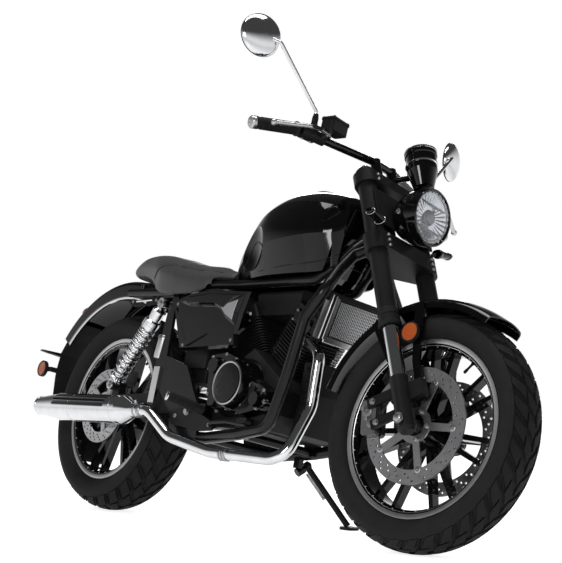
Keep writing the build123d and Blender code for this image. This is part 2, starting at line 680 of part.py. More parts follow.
def make_frame():
    """Head tube, two downtubes into the cradle, two rails, cross tubes and pivot plates."""
    with BuildPart() as head:
        bottom = LOWER_CLAMP_AT + LOWER_CLAMP_HEIGHT / 2 + HEAD_CLEARANCE
        top = UPPER_CLAMP_AT - UPPER_CLAMP_HEIGHT / 2 - HEAD_CLEARANCE
        with BuildSketch(fork_plane(-FORK_OFFSET, 0, bottom)):
            Circle(HEAD_TUBE_RADIUS)
        extrude(amount=top - bottom)
    frame = head.part
    for side in SIDES:
        frame = frame + tube(mirrored(DOWNTUBE, side), DOWNTUBE_BENDS, DOWNTUBE_RADIUS)
        frame = frame + tube(mirrored(RAIL, side), RAIL_BENDS, RAIL_RADIUS)
        with BuildPart() as plate:
            with BuildSketch(side_plane(side * 143)):
                with BuildLine():
                    Polyline(
                        (345, 640), (375, 640), (385, 470), (500, 440), (560, 360), (610, 300), (610, 225), (480, 225),
                        (455, 300), (340, 400), (330, 470), close=True,
                    )
                make_face()
                with Locations((PIVOT_X, PIVOT_Z)):
                    Circle(PIVOT_RADIUS + SEAT_GAP, mode=Mode.SUBTRACT)
            extrude(amount=5, both=True)
            with BuildSketch(side_plane(side * 98, 360, 656)):
                Rectangle(30, 92)
            extrude(amount=-side * 14)
            with BuildSketch(side_plane(side * 98, 360, 627)):
                Rectangle(30, 34)
            extrude(amount=-side * 46)
            with BuildSketch(side_plane(side * 98, SHOCK_TOP[0], SHOCK_TOP[1] + 22)):
                Rectangle(34, 70)
            extrude(amount=-side * 14)
            with BuildSketch(side_plane(side * 98, *SHOCK_TOP)):
                Circle(11)
            extrude(amount=-side * (SHOCK_SPREAD - 13 - SEAT_GAP - 98))
            with BuildSketch(side_plane(side * (CASE_HALF_WIDTH + SEAT_GAP), 800, 266)):
                Rectangle(44, 56)
            extrude(amount=-side * 26)
            with BuildSketch(side_plane(side * (CASE_HALF_WIDTH + SEAT_GAP), 612, 300)):
                Rectangle(28, 56)
            extrude(amount=-side * 30)
        frame = frame + plate.part
    for x, y, z in ((450, RAIL_SPREAD, RAIL_HEIGHT - 16), (110, RAIL_SPREAD, RAIL_HEIGHT - 24)):
        for side in SIDES:
            frame = frame + tube([(x, side * y, z), (x, side * y, RAIL_HEIGHT + RAIL_RADIUS)], 1, 9)
    for x, z, half in ((430, RAIL_HEIGHT - 6, RAIL_SPREAD), (640, 232, 132), (500, 232, 128), (800, 248, 138)):
        frame = frame + tube([(x, -half, z), (x, half, z)], 1, CROSS_TUBE_RADIUS)
    with BuildPart() as bore:
        with BuildSketch(fork_plane(-FORK_OFFSET, 0, 500)):
            Circle(STEM_RADIUS + STEM_CLEARANCE)
        extrude(amount=300)
    frame = frame - bore.part
    inward = stand_axis * -1
    with BuildPart() as lug:
        with BuildSketch(Plane(origin=STAND_PIVOT + inward * 14, z_dir=inward)):
            Circle(13)
        extrude(amount=24)
        with BuildSketch(Plane(origin=STAND_PIVOT - inward * 13, z_dir=inward)):
            Circle(6)
        extrude(amount=30)
        with BuildSketch(Plane.XY.offset(202)):
            with Locations((750, 130)):
                Rectangle(24, 16)
        extrude(amount=34)
    frame = frame + lug.part
    keep("chassis", "frame", frame)


def make_swingarm():
    """Swingarm: two box arms, a cross box ahead of the tyre, and the pivot tube."""
    with BuildPart() as arm:
        for side in SIDES:
            with BuildSketch(side_plane(side * SWINGARM_SPREAD)):
                with BuildLine():
                    Polyline(
                        (-52, 296), (-52, 344), (60, 346), (PIVOT_X, PIVOT_Z + 30), (PIVOT_X + 26, PIVOT_Z),
                        (PIVOT_X, PIVOT_Z - 30), (60, 294), close=True,
                    )
                make_face()
            extrude(amount=SWINGARM_WALL / 2, both=True)
        with BuildSketch(side_plane(0, 400, 330)):
            Rectangle(50, 44)
        extrude(amount=SWINGARM_SPREAD, both=True)
        with BuildSketch(side_plane(0, PIVOT_X, PIVOT_Z)):
            Circle(22)
        extrude(amount=SWINGARM_SPREAD, both=True)
        with BuildSketch(side_plane(0, PIVOT_X, PIVOT_Z)):
            Circle(PIVOT_RADIUS + SEAT_GAP)
        extrude(amount=200, both=True, mode=Mode.SUBTRACT)
        with BuildSketch(side_plane(0, 0, REAR_AXLE.Z)):
            Circle(AXLE_RADIUS + SEAT_GAP)
        extrude(amount=200, both=True, mode=Mode.SUBTRACT)
        for side in SIDES:
            with BuildSketch(side_plane(side * (SWINGARM_SPREAD + SWINGARM_WALL / 2), *SHOCK_FOOT)):
                Circle(10)
            extrude(amount=-side * 1.0)
            with BuildSketch(side_plane(side * SWINGARM_SPREAD, SHOCK_FOOT[0], SHOCK_FOOT[1] - 14)):
                Rectangle(36, 50)
            extrude(amount=SWINGARM_WALL / 2, both=True)
    keep("chassis", "swingarm", arm.part)
    with BuildPart() as pins:
        with BuildSketch(side_plane(0, PIVOT_X, PIVOT_Z)):
            Circle(PIVOT_RADIUS)
        extrude(amount=154, both=True)
        with BuildSketch(side_plane(0, 0, REAR_AXLE.Z)):
            Circle(AXLE_RADIUS)
        extrude(amount=144, both=True)
        for side in SIDES:
            with BuildSketch(side_plane(side * (REAR_HUB_LENGTH / 2 + SEAT_GAP), 0, REAR_AXLE.Z)):
                Circle(16)
            extrude(amount=-side * (SWINGARM_SPREAD - SWINGARM_WALL / 2 - REAR_HUB_LENGTH / 2 - 2 * SEAT_GAP))
    keep("chassis", "rear_axle_and_pivot", pins.part)


SHOCK_COILS = 9
SPRING_WIRE = 4.5


def make_shocks():
    """Two rear shocks with their springs, collars, eyes and gas reservoirs."""
    shocks = []
    for side in SIDES:
        top = Vector(SHOCK_TOP[0], side * SHOCK_SPREAD, SHOCK_TOP[1])
        foot = Vector(SHOCK_FOOT[0], side * SHOCK_SPREAD, SHOCK_FOOT[1])
        up = (top - foot).normalized()
        length = (top - foot).length
        across = Vector(0, 1, 0).cross(up)
        coils = (length - 132) / SHOCK_COILS
        with BuildPart() as shock:
            with BuildSketch(Plane(origin=foot, x_dir=across, z_dir=Vector(0, -1, 0))):
                Polygon(
                    (0, 10), (12, 10), (12, 26), (25, 28), (25, 36), (18, 38), (18, length - 94), (26, length - 92),
                    (26, length - 64), (20, length - 60), (22, length - 26), (12, length - 16), (0, length - 16),
                    align=None,
                )
            revolve(axis=Axis(foot, up))
            for coil in range(SHOCK_COILS):
                middle = foot + up * (38 + coils * (coil + 0.5))
                with Locations(Plane(origin=middle, z_dir=up)):
                    Torus(21, SPRING_WIRE)
            for eye in (top, foot):
                with BuildSketch(Plane(origin=eye, z_dir=(0, 1, 0))):
                    Circle(17)
                extrude(amount=13, both=True)
        shocks.append(shock.part)
    keep("chassis", "rear_shocks", *shocks)


# ================================================================ engine
def cylinder_plane(lean, up):
    """Plane across a cylinder's axis: local X is forward, local Y is to the left."""
    along = Vector(sin(radians(lean)), 0, cos(radians(lean)))
    forward = Vector(cos(radians(lean)), 0, -sin(radians(lean)))
    return Plane(origin=Vector(CRANK_X, 0, CRANK_Z) + along * up, x_dir=forward, z_dir=along)


INTAKE_TOP = RAIL_HEIGHT - 20
BATTERY_TOP = RAIL_HEIGHT - 19.6
CLUTCH_DOMES = [
    # x, z, radius, depth
    (752, 384, 84, 64),
    (656, 436, 38, 54),
    (866, 344, 34, 52),
    (668, 336, 30, 46),
]
OUTPUT_RADIUS = 30.0
SPROCKET_AT = (582, 340)
CHAIN_LEFT = REAR_HUB_LENGTH / 2 + SEAT_GAP + SPROCKET_THICKNESS / 2


def make_engine():
    """Crankcase, side covers and two finned cylinders in a V."""
    slope = radians(CYLINDER_LEAN)
    peak = CRANK_Z + (DECK - SEAT_GAP) / cos(slope)
    reach = 135.0
    with BuildPart() as case:
        with BuildSketch(side_plane(0)):
            with BuildLine():
                Polyline(
                    (CRANK_X, peak), (CRANK_X + reach, peak - reach * tan(slope)), (930, 380), (925, 310), (885, 268),
                    (650, 268), (606, 300), (606, 380), (CRANK_X - reach, peak - reach * tan(slope)), close=True,
                )
            make_face()
        extrude(amount=CASE_HALF_WIDTH, both=True)
        with BuildSketch(side_plane(CHAIN_LEFT - 12, *SPROCKET_AT)):
            Circle(OUTPUT_RADIUS + CHAIN_HEIGHT + 5)
        extrude(amount=-60, mode=Mode.SUBTRACT)
        with BuildSketch(side_plane(0, *SPROCKET_AT)):
            Circle(14)
        extrude(amount=-(CHAIN_LEFT - 12))
        with BuildSketch(side_plane(CHAIN_LEFT - 20, *SPROCKET_AT)):
            Circle(14)
        extrude(amount=-26)
        with BuildSketch(side_plane(CHAIN_LEFT - 4, *SPROCKET_AT)):
            Circle(OUTPUT_RADIUS - SEAT_GAP)
        extrude(amount=-8)
        with BuildSketch(side_plane(0)):
            Polygon((556, 292), (540, 340), (556, 420), (600, 455), (622, 432), (640, 412), (640, 290), align=None)
        extrude(amount=CASE_HALF_WIDTH - 48, both=True)
    keep("chassis", "crankcase", case.part)
    covers = []
    with BuildPart() as clutch:
        with BuildSketch(side_plane(-(CASE_HALF_WIDTH + SEAT_GAP))) as outline:
            Polygon(
                (608, 452), (626, 476), (690, 482), (742, 466), (822, 412), (898, 376), (908, 338), (874, 314),
                (800, 298), (690, 298), (622, 350), align=None,
            )
            fillet(outline.vertices(), 14)
        extrude(amount=34, taper=8)
        for x, z, radius, depth in CLUTCH_DOMES:
            with BuildSketch(side_plane(-(CASE_HALF_WIDTH + SEAT_GAP), x, z)):
                Circle(radius)
            extrude(amount=depth, taper=16)
    covers.append(clutch.part)
    with BuildPart() as generator:
        with BuildSketch(side_plane(CASE_HALF_WIDTH + SEAT_GAP)):
            Polygon((690, 462), (760, 476), (850, 440), (884, 380), (860, 318), (790, 300), (694, 304), align=None)
        extrude(amount=-22, taper=8)
        with BuildSketch(side_plane(CASE_HALF_WIDTH + SEAT_GAP, 772, 382)):
            Circle(82)
        extrude(amount=-48, taper=14)
    covers.append(generator.part)
    with BuildPart() as sprocket_cover:
        with BuildSketch(side_plane(CASE_HALF_WIDTH + SEAT_GAP)):
            Polygon((546, 338), (536, 380), (566, 404), (676, 402), (682, 334), (600, 332), align=None)
        extrude(amount=-16, taper=20)
    covers.append(sprocket_cover.part)
    keep("chassis", "engine_covers", *covers)
    for lean, name in ((CYLINDER_LEAN, "front_cylinder"), (-CYLINDER_LEAN, "rear_cylinder")):
        outer = 1 if lean > 0 else -1
        with BuildPart() as cylinder:
            with BuildSketch(cylinder_plane(lean, DECK)):
                with Locations((outer * 6, 0)):
                    RectangleRounded(112, 116, 20)
            extrude(amount=196)
            for fin in range(FIN_COUNT):
                with BuildSketch(cylinder_plane(lean, DECK + 12 + fin * FIN_PITCH)):
                    with Locations((outer * 6, 0)):
                        RectangleRounded(132, 150, 24)
                extrude(amount=FIN_THICKNESS)
            with BuildSketch(cylinder_plane(lean, DECK + 12 + FIN_COUNT * FIN_PITCH)):
                with Locations((outer * 6, 0)):
                    RectangleRounded(126, 140, 16)
            extrude(amount=44)
        keep("chassis", name, cylinder.part)
    with BuildPart() as intake:
        with BuildSketch(side_plane(0)):
            with BuildLine():
                Polyline(
                    (CRANK_X - 99.1, INTAKE_TOP), (CRANK_X - 99.1, 647.5), (CRANK_X - 75.8, 610), (CRANK_X + 75.8, 610),
                    (CRANK_X + 99.1, 647.5), (CRANK_X + 99.1, INTAKE_TOP), close=True,
                )
            make_face()
        extrude(amount=62, both=True)
        fillet(intake.edges().filter_by(Axis.X).group_by(Axis.Z)[-1], 12)
    with BuildPart() as battery_box:
        with BuildSketch(Plane.XY.offset(440)):
            with Locations((486, 0)):
                RectangleRounded(112, 236, 14)
        extrude(amount=BATTERY_TOP - 440)
        with BuildSketch(Plane.XY.offset(440)):
            with Locations((486, 0)):
                RectangleRounded(96, 200, 12)
        extrude(amount=-40, taper=12)
    keep("chassis", "air_and_battery_boxes", intake.part, battery_box.part)


RADIATOR_AHEAD = Vector(0.961, 0, -0.277)
RADIATOR_HEIGHT = 136.0
RADIATOR_DEPTH = 42.0
RADIATOR_EAR = 8.7


def make_cooling():
    """Radiator ahead of the engine between the downtubes, and the black cover below it."""
    front = Plane(origin=head_point(28, 0, -297), x_dir=(0, 1, 0), z_dir=RADIATOR_AHEAD)
    with BuildPart() as radiator:
        with BuildSketch(front):
            with Locations((0, -RADIATOR_HEIGHT / 2)):
                Rectangle(2 * RADIATOR_HALF_WIDTH, RADIATOR_HEIGHT)
        extrude(amount=-RADIATOR_DEPTH)
        with BuildSketch(front):
            with Locations((0, -RADIATOR_HEIGHT / 2)):
                Rectangle(2 * RADIATOR_HALF_WIDTH - 44, RADIATOR_HEIGHT - 36)
        extrude(amount=-7, mode=Mode.SUBTRACT)
        for side in SIDES:
            with BuildSketch(front.offset(-RADIATOR_DEPTH / 2)):
                with Locations((side * (RADIATOR_HALF_WIDTH + RADIATOR_EAR / 2), -16)):
                    Rectangle(RADIATOR_EAR, 20)
            extrude(amount=6, both=True)
    keep("chassis", "radiator", radiator.part)
    with BuildPart() as cover:
        with BuildSketch(side_plane(0)):
            with BuildLine():
                Polyline(
                    (928, 470), (985, 470), (1000, 380), (975, 268), (915, 262), (925 + SEAT_GAP, 306),
                    (930 + SEAT_GAP, 380), close=True,
                )
            make_face()
        extrude(amount=60, both=True)
        fillet(cover.edges().filter_by(Axis.Z, reverse=True).filter_by(Axis.Y, reverse=True).group_by(Axis.X)[-1], 10)
    keep("chassis", "lower_cover", cover.part)


HEADER = [
    (940.5, 66, 524.2), (1014, 86, 482), (1017, 84, 340), (1005, 130, 206), (965, 150, 184), (700, 152, 190),
    (520, 176, 222), (430, 202, 290), (360, 202, 290),
]


def make_exhaust():
    """Header pipe sweeping under the engine into a slash-cut muffler on the right."""
    pipe = tube(mirrored(HEADER, -1), [36, 90, 50, 34, 200, 90, 50], HEADER_RADIUS)
    keep("chassis", "exhaust_header", pipe)
    with BuildPart() as muffler:
        with BuildSketch(Plane(origin=(0, -202, 290), x_dir=(1, 0, 0), z_dir=(0, -1, 0))):
            with BuildLine():
                Polyline(
                    (386, 0), (386, HEADER_RADIUS + 3), (350, HEADER_RADIUS + 6), (300, MUFFLER_RADIUS), (-60, MUFFLER_RADIUS),
                    (-190, 0.72 * MUFFLER_RADIUS), (-190, 0), close=True,
                )
            make_face()
        revolve(axis=Axis((0, -202, 290), (1, 0, 0)))
        with BuildSketch(side_plane(-(148 + SEAT_GAP), 358, 360)):
            Rectangle(30, 150)
        extrude(amount=8)
        with BuildSketch(side_plane(-(148 + SEAT_GAP), 340, 300)):
            Rectangle(66, 30)
        extrude(amount=40)
        with BuildSketch(Plane(origin=(359, -202, 290), z_dir=(1, 0, 0))):
            Circle(HEADER_RADIUS + SEAT_GAP)
        extrude(amount=60, mode=Mode.SUBTRACT)
    keep("chassis", "muffler", muffler.part)


# ================================================================ tank, seat and covers
TANK_FOOT = RAIL_HEIGHT + RAIL_RADIUS + SEAT_GAP
HEAD_X = head_point(0, 0, 0)[0]
KNEE_AT = (628, 88, TANK_FOOT + 70)  # deepest place of the hollow in each flank
KNEE_RADIUS = 150.0
TANK_SECTIONS = [
    # x, half width, foot half width, then up from the tank's foot: foot, widest at, top
    (500, 34, 30, 0, 8, 22),
    (522, 48, 42, 0, 18, 52),
    (556, 72, 62, 0, 36, 112),
    (600, 94, 78, 0, 54, 170),
    (660, 120, 94, 0, 70, 222),
    (740, 142, 108, 0, 84, 256),
    (820, 150, 112, 0, 92, 266),
    (900, 144, 110, 0, 100, 258),
    (HEAD_X - 76, 120, 100, 4, 108, 240),
    (HEAD_X - 26, 78, 66, 62, 132, 212),
]
TUNNELS = [
    # half width, then the outline above the rails where they rise to the head tube
    (
        TUNNEL_SPREAD + RAIL_RADIUS + 6, (900, TANK_FOOT - 60), (900, TANK_FOOT + 3), (926, TANK_FOOT + 14),
        (HEAD_X - 73, TANK_FOOT + 54), (HEAD_X - 50, TANK_FOOT + 80), (HEAD_X - 50, TANK_FOOT - 60),
    ),
    (
        TUNNEL_SPREAD, (HEAD_X - 52, TANK_FOOT - 60), (HEAD_X - 52, TANK_FOOT + 78), (HEAD_X - 28, TANK_FOOT + 106),
        (HEAD_X + 18, TANK_FOOT + 152), (HEAD_X + 40, TANK_FOOT - 60),
    ),
]
SHOULDER = (0.86, 0.66)  # of the half width and of the height above the widest place
FLANK = (0.98, 0.34)
CLAMP_SWEEP = (
    FORK_SPREAD * sin(radians(STEER_LIMIT)) - FORK_OFFSET * cos(radians(STEER_LIMIT))
    + FORK_TUBE_RADIUS + CLAMP_WALL + HEAD_CLEARANCE + 1
)  # behind the steering axis


def tank_section(half, foot_half, foot, waist, top):
    """Tank section: flat foot, leaning sides, and a crease at the shoulder below the round top."""
    rise = top - waist
    shoulder = (SHOULDER[0] * half, waist + SHOULDER[1] * rise)
    with BuildSketch() as section:
        with BuildLine():
            Line((-foot_half, foot), (foot_half, foot))
            for side in SIDES:
                Line((side * foot_half, foot), (side * half, waist))
                ThreePointArc(
                    (side * half, waist),
                    (side * FLANK[0] * half, waist + FLANK[1] * rise),
                    (side * shoulder[0], shoulder[1]),
                )
            ThreePointArc((-shoulder[0], shoulder[1]), (0, top), shoulder)
        make_face()
    return section.sketch


def tank_blank(grow=0.0):
    """Outer form of the tank, larger all round by this much."""
    with BuildPart() as blank:
        for x, half, foot_half, foot, waist, top in TANK_SECTIONS:
            with BuildSketch(Plane.YZ.offset(x - (grow if x == TANK_SECTIONS[0][0] else 0))):
                add(
                    tank_section(
                        half + grow, foot_half + grow, TANK_FOOT + foot - grow, TANK_FOOT + waist,
                        TANK_FOOT + top + grow,
                    )
                )
        loft()
    return blank.part


def make_tank():
    """Teardrop tank astride the rails, and its cap."""
    with BuildPart() as tank:
        add(tank_blank())
        with BuildSketch(fork_plane(-FORK_OFFSET, 0, 480)):
            Circle(HEAD_TUBE_RADIUS + 12)
        extrude(amount=400, mode=Mode.SUBTRACT)
        with BuildSketch(fork_plane(-FORK_OFFSET, 0, UPPER_CLAMP_AT - UPPER_CLAMP_HEIGHT / 2 - HEAD_CLEARANCE - 1)):
            with Locations((200 - CLAMP_SWEEP, 0)):
                Rectangle(400, 400)
        extrude(amount=200, mode=Mode.SUBTRACT)
        for half, *outline in TUNNELS:
            with BuildSketch(side_plane(0)):
                Polygon(*outline, align=None)
            extrude(amount=half, both=True, mode=Mode.SUBTRACT)
        for side in SIDES:
            with Locations((KNEE_AT[0], side * (KNEE_AT[1] + KNEE_RADIUS), KNEE_AT[2])):
                Sphere(KNEE_RADIUS, mode=Mode.SUBTRACT)
    keep("chassis", "fuel_tank", tank.part)
    with BuildPart() as cap:
        with BuildSketch(Plane.XY.offset(TANK_FOOT + 250)):
            with Locations((820, 0)):
                Circle(31)
        extrude(amount=22)
        chamfer(cap.faces().sort_by(Axis.Z)[-1].edges(), 3)
        add(tank.part, mode=Mode.SUBTRACT)
    keep("chassis", "fuel_cap", cap.part.solids().sort_by(SortBy.VOLUME)[-1])


SEAT_SECTIONS = [
    # x, half width, foot half width, then up from the rails' middle: foot, widest at, top
    (-22, 72, 60, 60, 69, 80),
    (14, 94, 82, 50, 74, 104),
    (80, 114, 102, 40, 74, 118),
    (150, 130, 118, 14, 64, 120),
    (215, 142, 130, -20, 48, 114),
    (300, 148, 138, -42, 28, 95),
    (380, 147, 137, -44, 14, 76),
    (470, 138, 128, -34, 10, 64),
    (575, 104, 94, -28, 14, 56),
]


def rounded_section(half, foot_half, foot, waist, top):
    """Seat section with a flat foot, leaning sides and a round back."""
    brow = top - 0.08 * (top - waist)
    with BuildSketch() as section:
        with BuildLine():
            Line((-foot_half, foot), (foot_half, foot))
            for side in SIDES:
                Line((side * foot_half, foot), (side * half, waist))
                ThreePointArc(
                    (side * half, waist),
                    (side * 0.84 * half, waist + 0.64 * (top - waist)),
                    (side * 0.45 * half, brow),
                )
            ThreePointArc((-0.45 * half, brow), (0, top), (0.45 * half, brow))
        make_face()
    return section.sketch


def make_seat():
    """Solo saddle with a raised tail, hollow below for the rails and fender, around the tank's tail."""
    with BuildPart() as seat:
        for x, half, foot_half, foot, waist, top in SEAT_SECTIONS:
            with BuildSketch(Plane.YZ.offset(x)):
                add(rounded_section(half, foot_half, RAIL_HEIGHT + foot, RAIL_HEIGHT + waist, RAIL_HEIGHT + top))
        loft()
        with BuildSketch(Plane.XY.offset(RAIL_HEIGHT - 100)):
            with Locations((300, 0)):
                Rectangle(700, 2 * 122)
        extrude(amount=100 + RAIL_RADIUS + SEAT_GAP, mode=Mode.SUBTRACT)
        with BuildSketch(side_plane(0, 0, REAR_AXLE.Z)):
            Circle(REAR_FENDER_RADIUS + 4)
        extrude(amount=124, both=True, mode=Mode.SUBTRACT)
        add(tank_blank(2.0), mode=Mode.SUBTRACT)
    keep("chassis", "seat", seat.part.solids().sort_by(SortBy.VOLUME)[-1])


def make_side_covers():
    """Faceted covers below the seat on both sides."""
    covers = []
    for side in SIDES:
        with BuildPart() as cover:
            with BuildSketch(side_plane(side * (148 + SEAT_GAP))):
                Polygon(
                    (368, 640), (450, 662), (551, 668), (742, 656), (723, 592), (714, 532), (728, 492), (640, 490),
                    (452, 484), align=None,
                )
            extrude(amount=-side * 9, taper=40)
            with BuildSketch(side_plane(side * (148 + SEAT_GAP))):
                Polygon((380, 636), (452, 657), (551, 663), (736, 652), (650, 590), (600, 606), (470, 612), align=None)
            extrude(amount=-side * 21, taper=38)
            with BuildSketch(side_plane(side * (148 + SEAT_GAP))):
                Polygon((588, 624), (738, 654), (720, 592), (716, 540), (650, 572), align=None)
            extrude(amount=-side * 18, taper=44)
            for corners in (((478, 496), (580, 536), (616, 500)), ((396, 618), (486, 596), (560, 548), (474, 512))):
                with BuildSketch(side_plane(side * (157 + SEAT_GAP))):
                    Polygon(*corners, align=None)
                extrude(amount=side * 5, mode=Mode.SUBTRACT)
        covers.append(cover.part)
    keep("chassis", "side_covers", *covers)


GUARD_FACE = [(-378, 486), (-382, 452)]  # flat back of the tail mudguard
PLATE_DOWN = 0.5  # of that flat back, to the middle of the plate's seat


def make_rear_body():
    """Rear fender, its tail mudguard, the tail lamp and the rear signals."""
    with BuildPart() as fender:
        with BuildSketch(wheel_plane(REAR_AXLE, REAR_FENDER_FROM)):
            add(fender_profile(REAR_FENDER_HALF_WIDTH, REAR_FENDER_RADIUS, REAR_FENDER_EDGE_RADIUS))
        revolve(axis=Axis(REAR_AXLE, (0, -1, 0)), revolution_arc=REAR_FENDER_TO - REAR_FENDER_FROM)
    keep("chassis", "rear_fender", fender.part)
    with BuildPart() as guard:
        with BuildSketch(side_plane(0)):
            with BuildLine():
                Polyline(
                    (-299, 609), (-343, 555), (-378, 500), *GUARD_FACE, (-382, 420), (-368, 340), (-364, 340), (-378, 420),
                    (-374, 498), (-339, 553), (-295, 606), close=True,
                )
            make_face()
        extrude(amount=70, both=True)
        with BuildSketch(Plane.XY.offset(432)):
            with Locations((-388, 0)):
                Rectangle(14, 184)
            for side in SIDES:
                with Locations((-412, side * 90.5)):
                    Rectangle(62, 4.4)
        extrude(amount=16)
    keep("chassis", "tail_mudguard", guard.part)
    lamps = []
    for side in SIDES:
        with BuildPart() as signal:
            with BuildSketch(Plane(origin=(-394.5, side * 40, 496), x_dir=(1, 0, 0), z_dir=(0, side, 0))):
                Ellipse(16, 8)
            extrude(amount=96, taper=3)
        lamps.append(signal.part)
        with BuildPart() as reflector:
            with BuildSketch(side_plane(side * 93, -426, 440)):
                Circle(25)
            extrude(amount=-side * 10)
        lamps.append(reflector.part)
    tilt = radians(133)
    out = Vector(cos(tilt), 0, sin(tilt))
    with BuildPart() as tail:
        with BuildSketch(Plane(origin=REAR_AXLE + out * (REAR_FENDER_RADIUS - 7), x_dir=(0, 1, 0), z_dir=out)):
            RectangleRounded(110, 44, 18)
        extrude(amount=34)
    lamps.append((tail.part - fender.part).solids().sort_by(SortBy.VOLUME)[-1])
    keep("chassis", "rear_lamps", *lamps)


def make_rear_brake():
    """Caliper over the rear disc, on an arm from the swingarm."""
    middle = REAR_HUB_LENGTH / 2 + SEAT_GAP + DISC_THICKNESS / 2
    outer = SWINGARM_SPREAD - SWINGARM_WALL / 2 - SEAT_GAP
    with BuildPart() as caliper:
        with BuildSketch(side_plane(-outer, 92, 410)):
            RectangleRounded(86, 52, 10)
        extrude(amount=-(outer - middle + 16))
        with BuildSketch(side_plane(-outer)):
            with BuildLine():
                Polyline((56, 322), (104, 322), (120, 400), (64, 400), close=True)
            make_face()
        extrude(amount=-13)
        with BuildSketch(side_plane(-middle, REAR_AXLE.X, REAR_AXLE.Z)):
            Circle(REAR_DISC_RADIUS + 4)
        extrude(amount=DISC_THICKNESS / 2 + 2.5, both=True, mode=Mode.SUBTRACT)
    keep("chassis", "rear_caliper", caliper.part)


def chain_outline(grow):
    """Band around both sprockets, wider than their pitch circles by this much."""
    with BuildSketch() as outline:
        with BuildLine():
            CenterArc((0, REAR_AXLE.Z), SPROCKET_RADIUS + grow, 0, 360)
            CenterArc(SPROCKET_AT, OUTPUT_RADIUS + grow, 0, 360)
        make_hull()
    return outline.sketch


def make_chain():
    """Drive chain around both sprockets, as one closed band."""
    with BuildPart() as chain:
        with BuildSketch(side_plane(CHAIN_LEFT)):
            add(chain_outline(CHAIN_HEIGHT))
            add(chain_outline(0), mode=Mode.SUBTRACT)
        extrude(amount=CHAIN_WIDTH / 2, both=True)
    keep("chassis", "drive_chain", chain.part)


def make_footrests():
    """Hangers with a rider's peg on each side, the brake pedal and the shift lever."""
    footrests = []
    for side in SIDES:
        with BuildPart() as rest:
            with BuildSketch(side_plane(side * (148 + SEAT_GAP), 570, 300)):
                Circle(20)
            extrude(amount=-side * 12)
            with BuildSketch(side_plane(side * 158)):
                with BuildLine():
                    Polyline((500, 262), (490, 300), (560, 318), (640, 294), (712, 268), (700, 250), (640, 246), close=True)
                make_face()
            extrude(amount=-side * 8)
        peg = tube([(640, side * 160, 306), (606, side * 268, 324)], 1, 13)
        pedal = tube([(684, side * 162, 262), (724, side * 188, 268), (800, side * 194, 272), (890, side * 194, 266)], 16, 5)
        footrests.append(rest.part + peg + pedal)
    keep("chassis", "footrests", *footrests)


# ================================================================ side stand
def make_stand():
    """Side stand with its foot flat on the ground when the machine leans on it."""
    leg = tube([tuple(STAND_PIVOT + STAND_DOWN * 8), tuple(STAND_FOOT - STAND_DOWN * 7)], 1, 9)
    floor_up = Vector(0, -sin(radians(LEAN)), cos(radians(LEAN)))
    with BuildPart() as pad:
        with BuildSketch(Plane(origin=STAND_FOOT - floor_up * STAND_PAD / 2, x_dir=(1, 0, 0), z_dir=floor_up)):
            SlotOverall(64, 40)
        extrude(amount=STAND_PAD)
    with BuildPart() as eye:
        with BuildSketch(Plane(origin=STAND_PIVOT, z_dir=stand_axis)):
            Circle(13)
        extrude(amount=8, both=True)
    with BuildPart() as bore:
        with BuildSketch(Plane(origin=STAND_PIVOT, z_dir=stand_axis)):
            Circle(6 + SEAT_GAP)
        extrude(amount=40, both=True)
    keep("side_stand", "side_stand", leg + pad.part + eye.part - bore.part)


make_wheels()
make_fork()
make_clamps()
make_handlebar()
make_controls()
make_headlight()
make_mirrors()
make_front_fender()
make_front_brakes()
make_front_axle()
make_front_lamps()
make_frame()
make_swingarm()
make_shocks()
make_engine()
make_cooling()
make_exhaust()
make_tank()
make_seat()
make_side_covers()
make_rear_body()
make_rear_brake()
make_chain()
make_footrests()
make_stand()


# ================================================================ parked pieces
parts = []
for body, pieces in bodies.items():
    for piece in pieces:
        label = piece.label
        if body in ("steering", "front_wheel"):
            piece = piece.rotate(STEER_AXIS, STEER_PARKED)
        piece = piece.rotate(X_AXIS, -LEAN).rotate(Y_AXIS, PITCH)
        piece.label = label
        parts.append(piece)

boxes = [piece.bounding_box() for piece in parts]
low = Vector(*[min(getattr(box.min, side) for box in boxes) for side in "XYZ"])
high = Vector(*[max(getattr(box.max, side) for box in boxes) for side in "XYZ"])
SHIFT = Vector(-(low.X + high.X) / 2, -(low.Y + high.Y) / 2, -low.Z)
for piece in parts:
    label = piece.label
    piece = piece.translate(SHIFT)
    piece.label = label
    export_step(piece, f"parts/{label}.step")

joints = {
    "steering": (fork_point(-FORK_OFFSET, 0, LOWER_CLAMP_AT), FORK_UP, False),
    "front_wheel": (FRONT_AXLE, Vector(0, 1, 0), True),
    "rear_wheel": (REAR_AXLE, Vector(0, 1, 0), False),
    "side_stand": (STAND_PIVOT, stand_axis, False),
}
for name, (point, direction, steered) in joints.items():
    place = park(point, steered) + SHIFT
    along = park(direction, steered, True)
    print(name, "at", [round(value / 1000, 5) for value in place], "axis", [round(value, 5) for value in along])
upper, lower = Vector(GUARD_FACE[0][0], 0, GUARD_FACE[0][1]), Vector(GUARD_FACE[1][0], 0, GUARD_FACE[1][1])
plate_at = upper + (lower - upper) * PLATE_DOWN
plate_out = Vector(0, 1, 0).cross(lower - upper).normalized()
print(
    "plate at", [round(value / 1000, 5) for value in park(plate_at) + SHIFT],
    "axis", [round(value, 5) for value in park(plate_out, False, True)],
)
print("stand folds by", round(degrees(acos(STAND_DOWN.dot(STAND_FOLDED))), 2))
print("pitch", round(PITCH, 4), "shift", SHIFT, "size", high - low)
